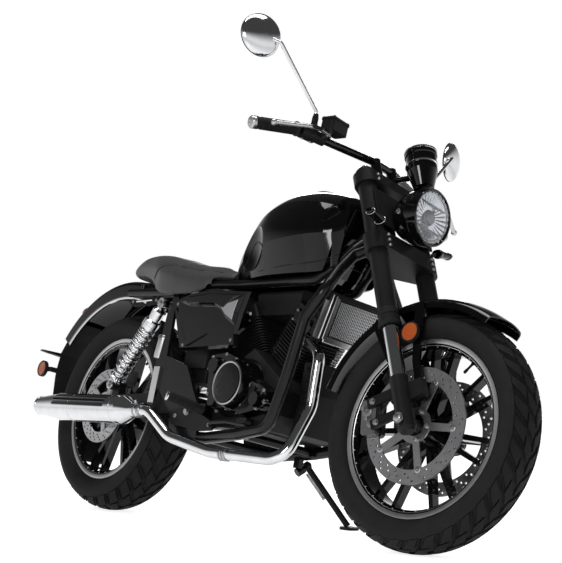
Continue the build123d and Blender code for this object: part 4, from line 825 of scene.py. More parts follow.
class Workshop:
    """Turns drawings into finished objects in their finishes, on their bodies."""

    def __init__(self) -> None:
        """Makes the finishes, the stance and the Geometry Nodes trees."""
        self.wardrobe = Wardrobe()
        self.stance = Stance()
        self.repeats = RepeatTree()
        self.follows = FollowTree()
        self.made: list[bpy.types.Object] = []

    def repeat(
        self, drawing: Drawing, count: int, centre: Vector = ORIGIN, turn: float = 0.0, axis: Vector = LEFT,
        step: Vector = ORIGIN,
    ) -> Drawing:
        """Repeats a drawing that is given from its centre.

        Args:
            drawing: What is repeated, drawn from the centre.
            count: Number of copies.
            centre: Where the centre comes on the machine.
            turn: Degrees from each copy to the next.
            axis: What they turn about.
            step: Distance from each copy to the next.

        Returns:
            All the copies, in place.
        """
        values = {
            "Count": count, "Turn": radians(turn), "Axis": tuple(axis), "Step": tuple(step),
            "Material": self.wardrobe.materials[Slot.STEEL],
        }
        return self.repeats.apply(drawing, values).move(Matrix.Translation(centre))

    def follow(self, drawing: Drawing, path: Sequence[Vector], count: int) -> Drawing:
        """Sets copies of a drawing along a closed path.

        Args:
            drawing: One copy, drawn about zero with X along the path.
            path: The path's points.
            count: Number of copies.

        Returns:
            All the copies, in place.
        """
        line = Drawing()
        corners = [line.mesh.verts.new(point) for point in path]
        for first, second in zip(corners, [*corners[1:], corners[0]]):
            line.mesh.edges.new((first, second))
        mesh = bpy.data.meshes.new("copy")
        bmesh.ops.recalc_face_normals(drawing.mesh, faces=drawing.mesh.faces)
        drawing.mesh.to_mesh(mesh)
        piece = bpy.data.objects.new("copy", mesh)
        bpy.context.scene.collection.objects.link(piece)
        values = {"Count": count, "Piece": piece, "Material": self.wardrobe.materials[Slot.STEEL]}
        made = self.follows.apply(line, values)
        bpy.data.objects.remove(piece)
        return made

    def finish(
        self, drawing: Drawing, name: str, slot: Slot, body: Body, replaces: str = "", sharp: float = SHARP
    ) -> bpy.types.Object:
        """Makes a drawing an object in its parked place.

        Args:
            drawing: What was drawn.
            name: The piece's name.
            slot: The finish that it takes.
            body: The body that it rides on.
            replaces: CAD node that it stands for.
            sharp: Angle above which an edge stays crisp.

        Returns:
            The finished object.
        """
        mesh = bpy.data.meshes.new(name)
        bmesh.ops.remove_doubles(drawing.mesh, verts=drawing.mesh.verts, dist=0.005)
        bmesh.ops.recalc_face_normals(drawing.mesh, faces=drawing.mesh.faces)
        bmesh.ops.transform(drawing.mesh, matrix=self.stance.of(body), verts=drawing.mesh.verts)
        drawing.mesh.to_mesh(mesh)
        drawing.mesh.free()
        mesh.shade_smooth()
        mesh.set_sharp_from_angle(angle=radians(sharp))
        return self.adopt(mesh, name, slot, body, replaces)

    def finish_all(self, body: Body, *rows: tuple[Drawing, str, Slot]) -> None:
        """Makes several drawings objects on one body.

        Args:
            body: The body that they ride on.
            rows: Each drawing with its piece's name and finish.
        """
        for drawing, name, slot in rows:
            self.finish(drawing, name, slot, body)

    def adopt(
        self, mesh: bpy.types.Mesh, name: str, slot: Slot, body: Body, replaces: str = ""
    ) -> bpy.types.Object:
        """Makes a mesh that is in its parked place an object.

        Args:
            mesh: The finished mesh.
            name: The piece's name.
            slot: The finish that it takes.
            body: The body that it rides on.
            replaces: CAD node that it stands for.

        Returns:
            The finished object.
        """
        mesh.materials.clear()
        mesh.materials.append(self.wardrobe.materials[slot])
        piece = bpy.data.objects.new(name, mesh)
        bpy.context.scene.collection.objects.link(piece)
        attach(piece, body.value)
        if replaces:
            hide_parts(replaces)
        self.made.append(piece)
        return piece


# ================================================================ wheels
@dataclass(frozen=True)
class TyreSizes:
    """Sizes of one tyre and its tread."""

    name: str
    body: Body
    axle: Vector
    radius: float
    width: float
    rim_width: float
    pitches: int
    depth: float = 5.0
    bead_radius: float = 216.0
    lip_radius: float = 230.0
    lip: float = 4.0
    seat_gap: float = 0.3
    shoulder_reach: float = 0.92
    shoulder_drop: float = 0.36
    wall: float = 9.0
    tread: float = 13.0

    @property
    def half(self) -> float:
        """Half of the tyre's width."""
        return self.width / 2

    @property
    def crown(self) -> float:
        """Radius of the tread's round, seen along the machine."""
        reach, drop = self.shoulder_reach * self.half, self.shoulder_drop * self.half
        return (reach**2 + drop**2) / (2 * drop)

    def surface(self, left: float) -> float:
        """Distance from the axle to the tread at this distance from the tyre's middle."""
        return self.radius - self.crown + sqrt(self.crown**2 - left**2)

    def point(self, angle: float, left: float, sunk: float) -> Vector:
        """Point on the tread, given from the axle, sunk by this much along its own normal."""
        flat = self.surface(left) - (self.radius - self.crown)
        scale = (self.crown - sunk) / self.crown
        out = self.radius - self.crown + flat * scale
        return Vector((cos(radians(angle)) * out, left * scale, sin(radians(angle)) * out))


TREAD_BLOCKS = (
    # rows of: share of the half width, first and last share of the pitch
    ((0.05, 0.0, 0.72), (0.16, 0.08, 0.8), (0.3, 0.3, 1.0), (0.4, 0.44, 1.12)),
    ((0.47, -0.34, 0.34), (0.62, -0.14, 0.52), (0.78, 0.1, 0.7), (0.9, 0.34, 0.9)),
    ((0.47, 0.46, 0.56), (0.66, 0.68, 0.78), (0.84, 0.92, 1.0)),
)


@dataclass(frozen=True)
class TreadedTyre:
    """A tyre with its carcass, its sidewall rings and a tread of slanted blocks."""

    sizes: TyreSizes

    def _carcass(self) -> Drawing:
        """Draws the tyre below its tread, with raised rings on its sidewalls."""
        s = self.sizes
        bead = s.rim_width / 2 - s.lip - s.seat_gap
        foot = s.bead_radius + s.seat_gap
        shoulder = (s.shoulder_reach * s.half, s.radius - s.shoulder_drop * s.half)
        belly = (s.half, 0.45 * s.radius + 0.55 * s.bead_radius)
        scale = (s.crown - s.depth) / s.crown
        crown = []
        for index in range(-10, 11):
            left = shoulder[0] * index / 10
            crown.append((left * scale, s.radius - s.crown + (s.surface(left) - s.radius + s.crown) * scale))
        side = arc_points(shoulder, belly, (bead, s.lip_radius + 1), 14)
        side = [(a + (0.5 if 3 <= i <= 4 or i == 11 else 0), b) for i, (a, b) in enumerate(side)]
        inner = [(bead, foot), (bead - s.wall, foot), (s.half - s.wall - 1, belly[1])]
        inner.append((s.half - s.wall - 6, s.radius - s.tread - 0.4 * s.half))
        right = [*side, *inner, (0, s.radius - s.tread)]
        left_half = [(-a, b) for a, b in reversed([*side, *inner])]
        profile = [(b, a) for a, b in [*crown, *right, *left_half]]
        drawing = Drawing()
        drawing.lathe(s.axle, LEFT, profile, 120, looped=True)
        return drawing

    def _blocks(self, shop: Workshop) -> Drawing:
        """Draws the blocks of one pitch on both sides, repeated around the tyre."""
        s = self.sizes
        pitch = 360 / s.pitches
        unit = Drawing()
        for side in SIDES:
            shift = 0.5 if side > 0 else 0
            for rows in TREAD_BLOCKS:
                rings = []
                for share, first, last in rows:
                    left = side * share * s.half
                    start, end = (first + shift) * pitch, (last + shift) * pitch
                    low, high = s.depth + 1, 0
                    inner = [s.point(start + 0.5, left, high), s.point((start + end) / 2, left, high)]
                    rings.append(
                        [
                            s.point(start, left, low), *inner, s.point(end - 0.5, left, high),
                            s.point(end, left, low),
                        ],
                    )
                unit.skin(rings)
        return shop.repeat(unit, s.pitches, s.axle, pitch)

    def make(self, shop: Workshop) -> None:
        """Makes the tyre, which stands for its CAD node."""
        drawing = self._carcass()
        drawing.absorb(self._blocks(shop))
        s = self.sizes
        shop.finish(drawing, f"{s.name}_treaded", Slot.TYRE, s.body, s.name, 30)


@dataclass(frozen=True)
class RimTrim:
    """Bright lips with their studs, and the valve, of one wheel."""

    name: str
    body: Body
    axle: Vector
    half_width: float
    lip_radius: float = 230.0
    bead_radius: float = 216.0
    studs: int = 36
    valve_turn: float = 64.0

    def make(self, shop: Workshop) -> None:
        """Makes the wheel's bright parts."""
        drawing = Drawing()
        for side in SIDES:
            face = side * self.half_width
            ring = [
                (self.lip_radius + 0.5, -0.6), (self.lip_radius + 0.5, 0.7), (self.bead_radius + 4, 0.7),
                (self.bead_radius - 3, -2.6), (self.bead_radius - 1.5, -4),
            ]
            profile = [(radius, face + side * rise) for radius, rise in ring]
            drawing.lathe(self.axle, LEFT, profile, 128, looped=True)
            stud = Drawing()
            start = Vector((self.bead_radius - 5, face - side * 4.5, 0))
            stud.lathe(start, LEFT * side, [(2, -3), (2, 1.4), (1.2, 2.2)], 8)
            drawing.absorb(shop.repeat(stud, self.studs, self.axle, 360 / self.studs))
        shop.finish(drawing, f"{self.name}_rim_lips", Slot.MACHINED, self.body)
        valve = Drawing()
        turn = radians(self.valve_turn)
        foot = self.axle + Vector((cos(turn), 0, sin(turn))) * (self.bead_radius - 11)
        inward = Vector((-cos(turn), -0.35, -sin(turn))).normalized()
        valve.lathe(foot, inward, [(5, -3), (4.6, 4), (3.2, 9), (3.2, 24), (4, 25), (4, 34), (3, 36)], 12)
        shop.finish(valve, f"{self.name}_valve", Slot.RUBBER, self.body)


@dataclass(frozen=True)
class DiscTrim:
    """Rivets and bolts of the brake discs."""

    name: str
    body: Body
    axle: Vector
    faces: tuple[float, ...]
    bore: float
    bolt_circle: float = 36.0
    arms: int = 5

    def make(self, shop: Workshop) -> None:
        """Makes the rivets between ring and arms, and the bolts to the hub."""
        drawing = Drawing()
        for face in self.faces:
            out = Vector((0, copysign(1, face), 0))
            foot = Vector((0, face, 0))
            unit = Drawing()
            unit.lathe(
                foot + Vector((self.bore + 3, 0, 0)), out,
                [(8.5, -1), (8.5, 0.6), (6.6, 1.2), (2.6, 1.2), (2.2, 0.6)], 20,
            )
            unit.bolt(foot + Vector((self.bolt_circle, 0, 0)), out, 6, 5.5, socket=True)
            drawing.absorb(shop.repeat(unit, self.arms, self.axle, 360 / self.arms))
        shop.finish(drawing, f"{self.name}_disc_bolts", Slot.STEEL, self.body)


FRONT_DISC_FACE = FRONT_HUB_HALF + DISC_GAP + DISC_THICKNESS
REAR_DISC_FACE = REAR_HUB_HALF + DISC_GAP + DISC_THICKNESS


def make_wheels(shop: Workshop) -> None:
    """Makes the tyres and the small parts of both wheels."""
    front = TyreSizes(
        "front_tyre", Body.FRONT_WHEEL, FRONT_AXLE, FRONT_TYRE_RADIUS, width=130, rim_width=92, pitches=34
    )
    rear = TyreSizes(
        "rear_tyre", Body.REAR_WHEEL, REAR_AXLE, REAR_TYRE_RADIUS, width=160, rim_width=118, pitches=30,
        depth=6,
    )
    for tyre in (front, rear):
        TreadedTyre(tyre).make(shop)
    for tyre, name in ((front, "front"), (rear, "rear")):
        RimTrim(name, tyre.body, tyre.axle, half_width=tyre.rim_width / 2).make(shop)
    faces = (-FRONT_DISC_FACE, FRONT_DISC_FACE)
    DiscTrim("front", Body.FRONT_WHEEL, FRONT_AXLE, faces, bore=113).make(shop)
    DiscTrim("rear", Body.REAR_WHEEL, REAR_AXLE, (-REAR_DISC_FACE,), bore=86).make(shop)


# ================================================================ front end
@dataclass(frozen=True)
class ForkTrim:
    """Chrome sleeves, seal rings, caps and bolts of the fork."""

    spread: float = 105.0
    tube_radius: float = 26.0
    stanchion: float = 20.5
    foot_top: float = 120.0
    seal_at: float = 268.0
    seal_height: float = 24.0
    top: float = 758.0
    clamp_face: float = 34.0
    mount_left: float = 100.0

    def make(self, shop: Workshop) -> None:
        """Makes the fork's bright and small parts."""
        chrome, black, bolts = Drawing(), Drawing(), Drawing()
        for side in SIDES:
            base = fork_point(0, side * self.spread, 0)
            r = self.stanchion
            sleeve = [
                (r - 1, self.foot_top - 0.5), (r + 0.6, self.foot_top + 1), (r + 0.6, self.seal_at - 1),
                (r - 1, self.seal_at + 0.5),
            ]
            chrome.lathe(base, FORK_UP, sleeve, 40, looped=True)
            black.lathe(
                base, FORK_UP,
                [
                    (28, self.seal_at - 3), (30.6, self.seal_at + 1), (30.6, self.seal_at + 6),
                    (28, self.seal_at + 9),
                ],
                40, looped=True,
            )
            low = [(self.tube_radius - 1, 0), (self.tube_radius + 1.8, 3), (self.tube_radius + 1.8, 16)]
            ring = [(radius, self.seal_at + self.seal_height + 4 + rise) for radius, rise in low]
            black.lathe(base, FORK_UP, [*ring, (self.tube_radius - 1, ring[-1][1] + 3)], 40, looped=True)
            cap = [(19, -1), (19, 2), (17, 4), (12.5, 4), (12, 9), (10.5, 10.5)]
            chrome.lathe(fork_point(0, side * self.spread, self.top), FORK_UP, cap, 24)
            clamps = ((LOWER_CLAMP_AT, (-16, 0, 16), 4.6, 7), (UPPER_CLAMP_AT, (-8, 8), 4.2, 6))
            for clamp, rows, radius, height in clamps:
                for up in rows:
                    start = fork_point(self.clamp_face, side * (self.spread - 8), clamp + up)
                    bolts.bolt(start, FORK_AHEAD, radius, height, socket=True)
            foot = fork_point(0, side * (self.spread + 23), 0)
            bolts.bolt(foot + Vector((0, side * 9, 0)), LEFT * side, 11, 7)
            for up in (34, 92):
                start = fork_point(-92, side * self.mount_left, up)
                bolts.bolt(start, LEFT * side, 6.5, 7)
        shop.finish_all(
            Body.STEERING, (chrome, "fork_sleeves", Slot.CHROME), (black, "fork_seals", Slot.RUBBER),
            (bolts, "fork_bolts", Slot.STEEL),
        )


@dataclass(frozen=True)
class HeadlightTrim:
    """Reflector, lamp, lens and bezel of the headlight."""

    radius: float = 77.0
    facets: int = 28
    face: Triple = (200.6, 0.0, -56.8)

    def make(self, shop: Workshop) -> None:
        """Makes the inside of the headlight, and the lens that stands for its CAD node."""
        face = head_point(*self.face)
        bowl = Drawing()
        outer = self.radius - 6.6
        rings = []
        for share, rise in ((1, -1.2), (0.86, -5.4), (0.68, -8.6), (0.48, -11), (0.28, -12.4), (0.16, -12.8)):
            ring = []
            for index in range(self.facets * 2):
                turn = tau * index / (self.facets * 2)
                ripple = 0.9 if index % 2 else -0.3
                radius = outer * share
                ring.append(face + Vector((rise + ripple, radius * cos(turn), radius * sin(turn))))
            rings.append(ring)
        back = [[point + Vector((-0.9, 0, 0)) for point in ring] for ring in reversed(rings)]
        bowl.skin([*rings, *back], looped=True)
        shop.finish(bowl, "headlight_reflector", Slot.CHROME, Body.STEERING, sharp=8)
        lamp = Drawing()
        lamp.lathe(face - AHEAD * 13, AHEAD, [(22, 0), (22, 2), (19, 4), (17, 9), (12, 11), (4, 11.8)], 40)
        for rise in (-34, 34):
            place = Place(face + Vector((-11.5, 0, rise)), LEFT, UP)
            lamp.box(place, (2 * sqrt((outer - 4) ** 2 - rise**2), 4, 9), 1)
        shop.finish(lamp, "headlight_shield", Slot.DARK_ALLOY, Body.STEERING)
        lens = Drawing()
        dome = [
            (outer, -1), (outer, 1.4), (outer * 0.94, 3.2), (outer * 0.7, 6.4), (outer * 0.4, 8.6), (0, 9.4)
        ]
        inner = [(0, 7.2), (outer * 0.4, 6.4), (outer * 0.7, 4.2), (outer * 0.92, 1.4), (outer * 0.96, -1)]
        lens.lathe(face, AHEAD, [*dome, *inner], 64, looped=True)
        shop.finish(lens, "headlight_glass", Slot.LENS, Body.STEERING, "headlight_lens")
        bezel = Drawing()
        r = self.radius
        ring = [
            (r - 5.6, -2), (r - 5.6, 2.2), (r - 3.6, 4.6), (r - 0.4, 4.6), (r + 1.4, 2.6), (r + 1.4, -12),
            (r, -13),
        ]
        bezel.lathe(face, AHEAD, ring, 72, looped=True)
        groove = [(r - 0.2, -30), (r + 1, -29), (r + 1, -25), (r - 0.2, -24)]
        bezel.lathe(face, AHEAD, groove, 72, looped=True)
        shop.finish(bezel, "headlight_bezel", Slot.GLOSS_BLACK, Body.STEERING)
        bolts = Drawing()
        for side in SIDES:
            start = face + Vector((-56, side * 66, -8))
            bolts.bolt(start, LEFT * side, 8, 12)
        shop.finish(bolts, "headlight_bolts", Slot.STEEL, Body.STEERING)


@dataclass(frozen=True)
class GaugeTrim:
    """Rings, marks and hand of the round gauge."""

    radius: float = 45.0
    depth: float = 112.0
    marks: int = 25
    tilt: float = 20.0
    foot: Triple = (151.6, 0.0, 30.2)

    def make(self, shop: Workshop) -> None:
        """Makes the gauge's rings, its marks and its hand."""
        tilt = radians(self.tilt)
        up = Vector((-sin(tilt), 0, cos(tilt)))
        ahead = Vector((cos(tilt), 0, sin(tilt)))
        top = head_point(*self.foot) + up * self.depth
        ring = Drawing()
        r = self.radius
        ring.lathe(
            top, up, [(r - 5, -1), (r - 4.6, 2.6), (r - 1, 3.6), (r + 0.8, 2), (r + 0.8, -3), (r - 1, -4)],
            56, looped=True,
        )
        ring.lathe(top, up, [(r - 3, -44), (r + 0.6, -43), (r + 0.6, -40), (r - 3, -39)], 56, looped=True)
        shop.finish(ring, "gauge_rings", Slot.CHROME, Body.STEERING)
        mark = Drawing()
        place = Place(Vector((r - 10, 0, 0)), LEFT, -AHEAD)
        mark.slab(place, [(-0.5, -2.4), (0.5, -2.4), (0.5, 2.4), (-0.5, 2.4)], 0.5)
        frame_turn = Matrix((ahead, LEFT, up)).transposed().to_4x4()
        marks = shop.repeat(mark, self.marks, turn=-270 / (self.marks - 1), axis=UP)
        marks.slab(
            Place(Vector((0, 0, 0.3)), Vector((0.8, -0.6, 0)), Vector((0.6, 0.8, 0))),
            [(-1.4, -8), (1.4, -8), (0.3, 30), (-0.3, 30)], 0.6,
        )
        marks.lathe(Vector((0, 0, 0.2)), UP, [(4, 0), (4, 1.4), (2.8, 2)], 20)
        marks.move(Matrix.Translation(top + up * 0.3) @ frame_turn)
        shop.finish(marks, "gauge_marks", Slot.MACHINED, Body.STEERING)


def bar_points(side: int) -> list[Vector]:
    """Corners of the handlebar's path on one side."""
    rows = ((-9, 48, 100), (-40, 190, 95), (-68, 298, 95), (-103, 419, 64))
    return [head_point(x, side * y, z) for x, y, z in rows]


@dataclass(frozen=True)
class BarTrim:
    """Grip ribs, bar ends, screws, hand levers and switch buttons, and the reservoir's lid."""

    grip_radius: float = 16.5
    ribs: int = 20
    lid: Triple = (-4.0, -232.0, 142.0)

    def make(self, shop: Workshop) -> None:
        """Makes the small parts along the handlebar."""
        ribs, steel, levers, switches = Drawing(), Drawing(), Drawing(), Drawing()
        for side in SIDES:
            points = bar_points(side)
            inner, outer = points[2], points[3]
            along = (outer - inner).normalized()
            unit = Drawing()
            r = self.grip_radius
            unit.lathe(
                ORIGIN, along, [(r - 1, -1.9), (r + 0.9, -1.2), (r + 0.9, 1.2), (r - 1, 1.9)], 24, looped=True
            )
            length = (outer - inner).length
            ribs.absorb(
                shop.repeat(
                    unit, self.ribs, inner + along * 18, step=along * ((length - 30) / (self.ribs - 1))
                ),
            )
            ribs.lathe(inner, along, [(12, 6), (20.5, 7), (20.5, 11), (17, 14), (12, 14)], 32, looped=True)
            steel.lathe(outer, along, [(17, 8), (18, 9), (18, 17), (15, 21), (6, 22), (5, 20)], 32)
            ways = (points[2] - points[1]).normalized()
            root = points[2] - ways * 66 + Vector((34, 0, 8))
            middle = root + Vector((14, side * 60, -6))
            tip = root + Vector((-30, side * 175, -38))
            levers.tube([root, middle, tip], 6.1, 40)
            levers.lathe(tip, tip - middle, [(5.8, -4), (8.6, 0), (9.2, 4), (7, 9), (2, 11)], 20)
            levers.lathe(root - Vector((0, 0, 9)), UP, [(8, 0), (8, 18), (6, 20)], 20)
            place_out = ways.cross(UP).normalized()
            if place_out.x > 0:
                place_out = -place_out
            seat = points[2] - ways * 28
            for turn, size in ((0, (12, 8, 5)), (1, (8, 8, 4))):
                foot = seat + place_out * 19.5 + UP * (6 - 14 * turn) + ways * (6 - 10 * turn)
                across = UP.cross(place_out).normalized()
                switches.box(Place(foot, across, UP), size, 1.5)
            for shift in (-14, 14):
                steel.bolt(seat + ways * shift - UP * 20, -UP, 3.2, 3, socket=True)
            steel.bolt(points[2] - ways * 66 + Vector((8, 0, 17)), UP, 3.6, 4, socket=True)
        shop.finish_all(
            Body.STEERING, (ribs, "grip_ribs", Slot.RUBBER), (steel, "bar_ends_and_screws", Slot.STEEL),
            (levers, "hand_levers", Slot.MACHINED), (switches, "switch_buttons", Slot.BLACK_PLASTIC),
        )
        lid = Drawing()
        top = head_point(*self.lid)
        place = Place(top, AHEAD, LEFT)
        lid.box(place, (40, 58, 1.6), 4)
        for u, v in ((-19, -28), (19, 28), (19, -28), (-19, 28)):
            lid.bolt(place.at(u, v), UP, 3.4, 2.6, socket=True)
        shop.finish(lid, "reservoir_lid", Slot.DARK_ALLOY, Body.STEERING)


@dataclass(frozen=True)
class MirrorTrim:
    """Mirror glass, its rim, and the stem's nuts."""

    radius: float = 60.0
    centre: Triple = (-148.4, 443.0, 314.2)
    stem: tuple[Triple, Triple] = ((-56.4, 258.0, 116.5), (-54.4, 262.0, 159.2))

    def make(self, shop: Workshop) -> None:
        """Makes both mirrors' small parts."""
        glass, nuts = Drawing(), Drawing()
        for side in SIDES:
            back = Vector((0.95, 0.3 * side, 0.05)).normalized()
            centre, low, high = (head_point(x, side * y, z) for x, y, z in (self.centre, *self.stem))
            glass.lathe(centre, -back, [(self.radius - 5, -0.6), (self.radius - 5, 0.4), (0, 0.5)], 56)
            r = self.radius
            nuts.lathe(
                centre, -back,
                [(r - 5, -1), (r - 5, 1.4), (r - 1.5, 1.8), (r + 0.5, 0), (r + 0.5, -3), (r - 2, -4)], 56,
                looped=True,
            )
            way = (high - low).normalized()
            nuts.lathe(low + way * 2, way, [(10, 0), (10, 8), (8, 10)], 6)
            nuts.lathe(low + way * 12, way, [(9, 0), (9, 14), (6.6, 26), (5.6, 27)], 24)
        shop.finish_all(
            Body.STEERING, (glass, "mirror_glass", Slot.CHROME),
            (nuts, "mirror_rims_and_boots", Slot.SATIN_BLACK),
        )


def make_front_lamps(shop: Workshop) -> None:
    """Makes the front signals' rings, and the reflectors' bezels and ribs."""
    rings = Drawing()
    for side in SIDES:
        out = FORK_AHEAD * 0.8 + Vector((0, side * 0.6, 0))
        root = fork_point(0, side * 105, SIGNAL_AT) + out * 26.3
        seat = root + out * 22 + Vector((0, -side * 8, 0))
        way = Vector((0, side, 0.2)).normalized()
        other = way.cross(AHEAD)
        for rise, wide, high in ((6, 17.4, 12.4), (50, 14.6, 9.8)):
            ring = []
            for index in range(36):
                turn = tau * index / 36
                ring.append(seat + way * rise + AHEAD * wide * cos(turn) + other * high * sin(turn))
            rings.tube([*ring, ring[0]], 1.2, looped=True, sides=8)
    shop.finish(rings, "front_signal_rings", Slot.STEEL, Body.STEERING)
    bezels = Drawing()
    ribs = Drawing()
    for side in SIDES:
        centre = Vector((FRONT_AXLE.x - 52, side * REFLECTOR_LEFT, FRONT_AXLE.z + 232))
        out = LEFT * side
        bezels.lathe(
            centre, out, [(23.6, -11), (26.4, -10), (26.4, -1), (25, 1), (23.6, 0.4)], 48, looped=True
        )
        for radius in (6, 12, 18):
            ribs.lathe(
                centre, out,
                [(radius - 0.9, -1), (radius - 0.9, 0.4), (radius + 0.9, 0.4), (radius + 0.9, -1)], 40,
                looped=True,
            )
    shop.finish_all(
        Body.STEERING, (bezels, "reflector_bezels", Slot.BLACK_PLASTIC), (ribs, "reflector_ribs", Slot.AMBER)
    )


@dataclass(frozen=True)
class CaliperTrim:
    """Bolts and piston covers of the front calipers."""

    left: float = 89.6

    def make(self, shop: Workshop) -> None:
        """Makes the small parts on both front calipers."""
        bolts, ribs = Drawing(), Drawing()
        for side in SIDES:
            face = side * self.left
            out = LEFT * side
            for ahead, up in ((-132, 92), (-108, 30), (-126, 62)):
                start = fork_point(ahead, 0, up) + Vector((0, face, 0))
                bolts.bolt(start, out, 6, 5, socket=True)
            for ahead, up in ((-119, 78), (-112, 46)):
                start = fork_point(ahead, 0, up) + Vector((0, face - side * 1, 0))
                ribs.lathe(start, out, [(15, 0), (15, 3.6), (12.6, 5), (4, 5), (3, 4)], 32)
        shop.finish_all(
            Body.STEERING, (bolts, "front_caliper_bolts", Slot.STEEL),
            (ribs, "front_caliper_pistons", Slot.DARK_ALLOY),
        )


# ================================================================ chassis details
@dataclass(frozen=True)
class ShockTrim:
    """Helical springs, collars and gas reservoirs of the rear shocks."""

    spread: float = 150.0
    top: Pair = (317.0, 633.0)
    foot: Pair = (125.0, 378.0)
    coils: float = 9.5
    wire: float = 4.6
    coil_radius: float = 21.5

    def make(self, shop: Workshop) -> None:
        """Makes the shocks' springs and small parts."""
        springs, pots, bolts = Drawing(), Drawing(), Drawing()
        for side in SIDES:
            top = Vector((self.top[0], side * self.spread, self.top[1]))
            foot = Vector((self.foot[0], side * self.spread, self.foot[1]))
            up = (top - foot).normalized()
            other = up.cross(LEFT)
            length = (top - foot).length
            low, high = 38, length - 94
            steps = int(self.coils * 20)
            path = []
            for index in range(steps + 1):
                turn = tau * self.coils * index / steps
                rise = low + (high - low) * index / steps
                path.append(foot + up * rise + (LEFT * cos(turn) + other * sin(turn)) * self.coil_radius)
            springs.tube(path, self.wire, sides=10)
            springs.lathe(foot, up, [(18.5, 26), (27, 28), (27, 33), (24, 36), (18.5, 37)], 40, looped=True)
            springs.lathe(
                foot, up,
                [(17.5, length - 92), (27.5, length - 90), (27.5, length - 66), (17.5, length - 63)], 40,
                looped=True,
            )
            for collar in (-82, -74):
                springs.lathe(
                    foot, up,
                    [
                        (24, length + collar), (28.4, length + collar + 1), (28.4, length + collar + 4),
                        (24, length + collar + 5),
                    ],
                    24, looped=True,
                )
            out = LEFT * side
            for eye in (top, foot):
                bolts.bolt(eye + out * 13, out, 8.5, 8)
            start = Vector((330, side * 136, 462))
            lean = Vector((0.12, 0, 1)).normalized()
            can = [(12, 0), (18, 2), (19, 6), (19, 60), (20.6, 61), (20.6, 68), (17, 74), (6, 76)]
            pots.lathe(start, lean, can, 36)
        shop.finish_all(
            Body.CHASSIS, (springs, "shock_springs", Slot.CHROME), (pots, "shock_reservoirs", Slot.MACHINED),
            (bolts, "shock_bolts", Slot.STEEL),
        )


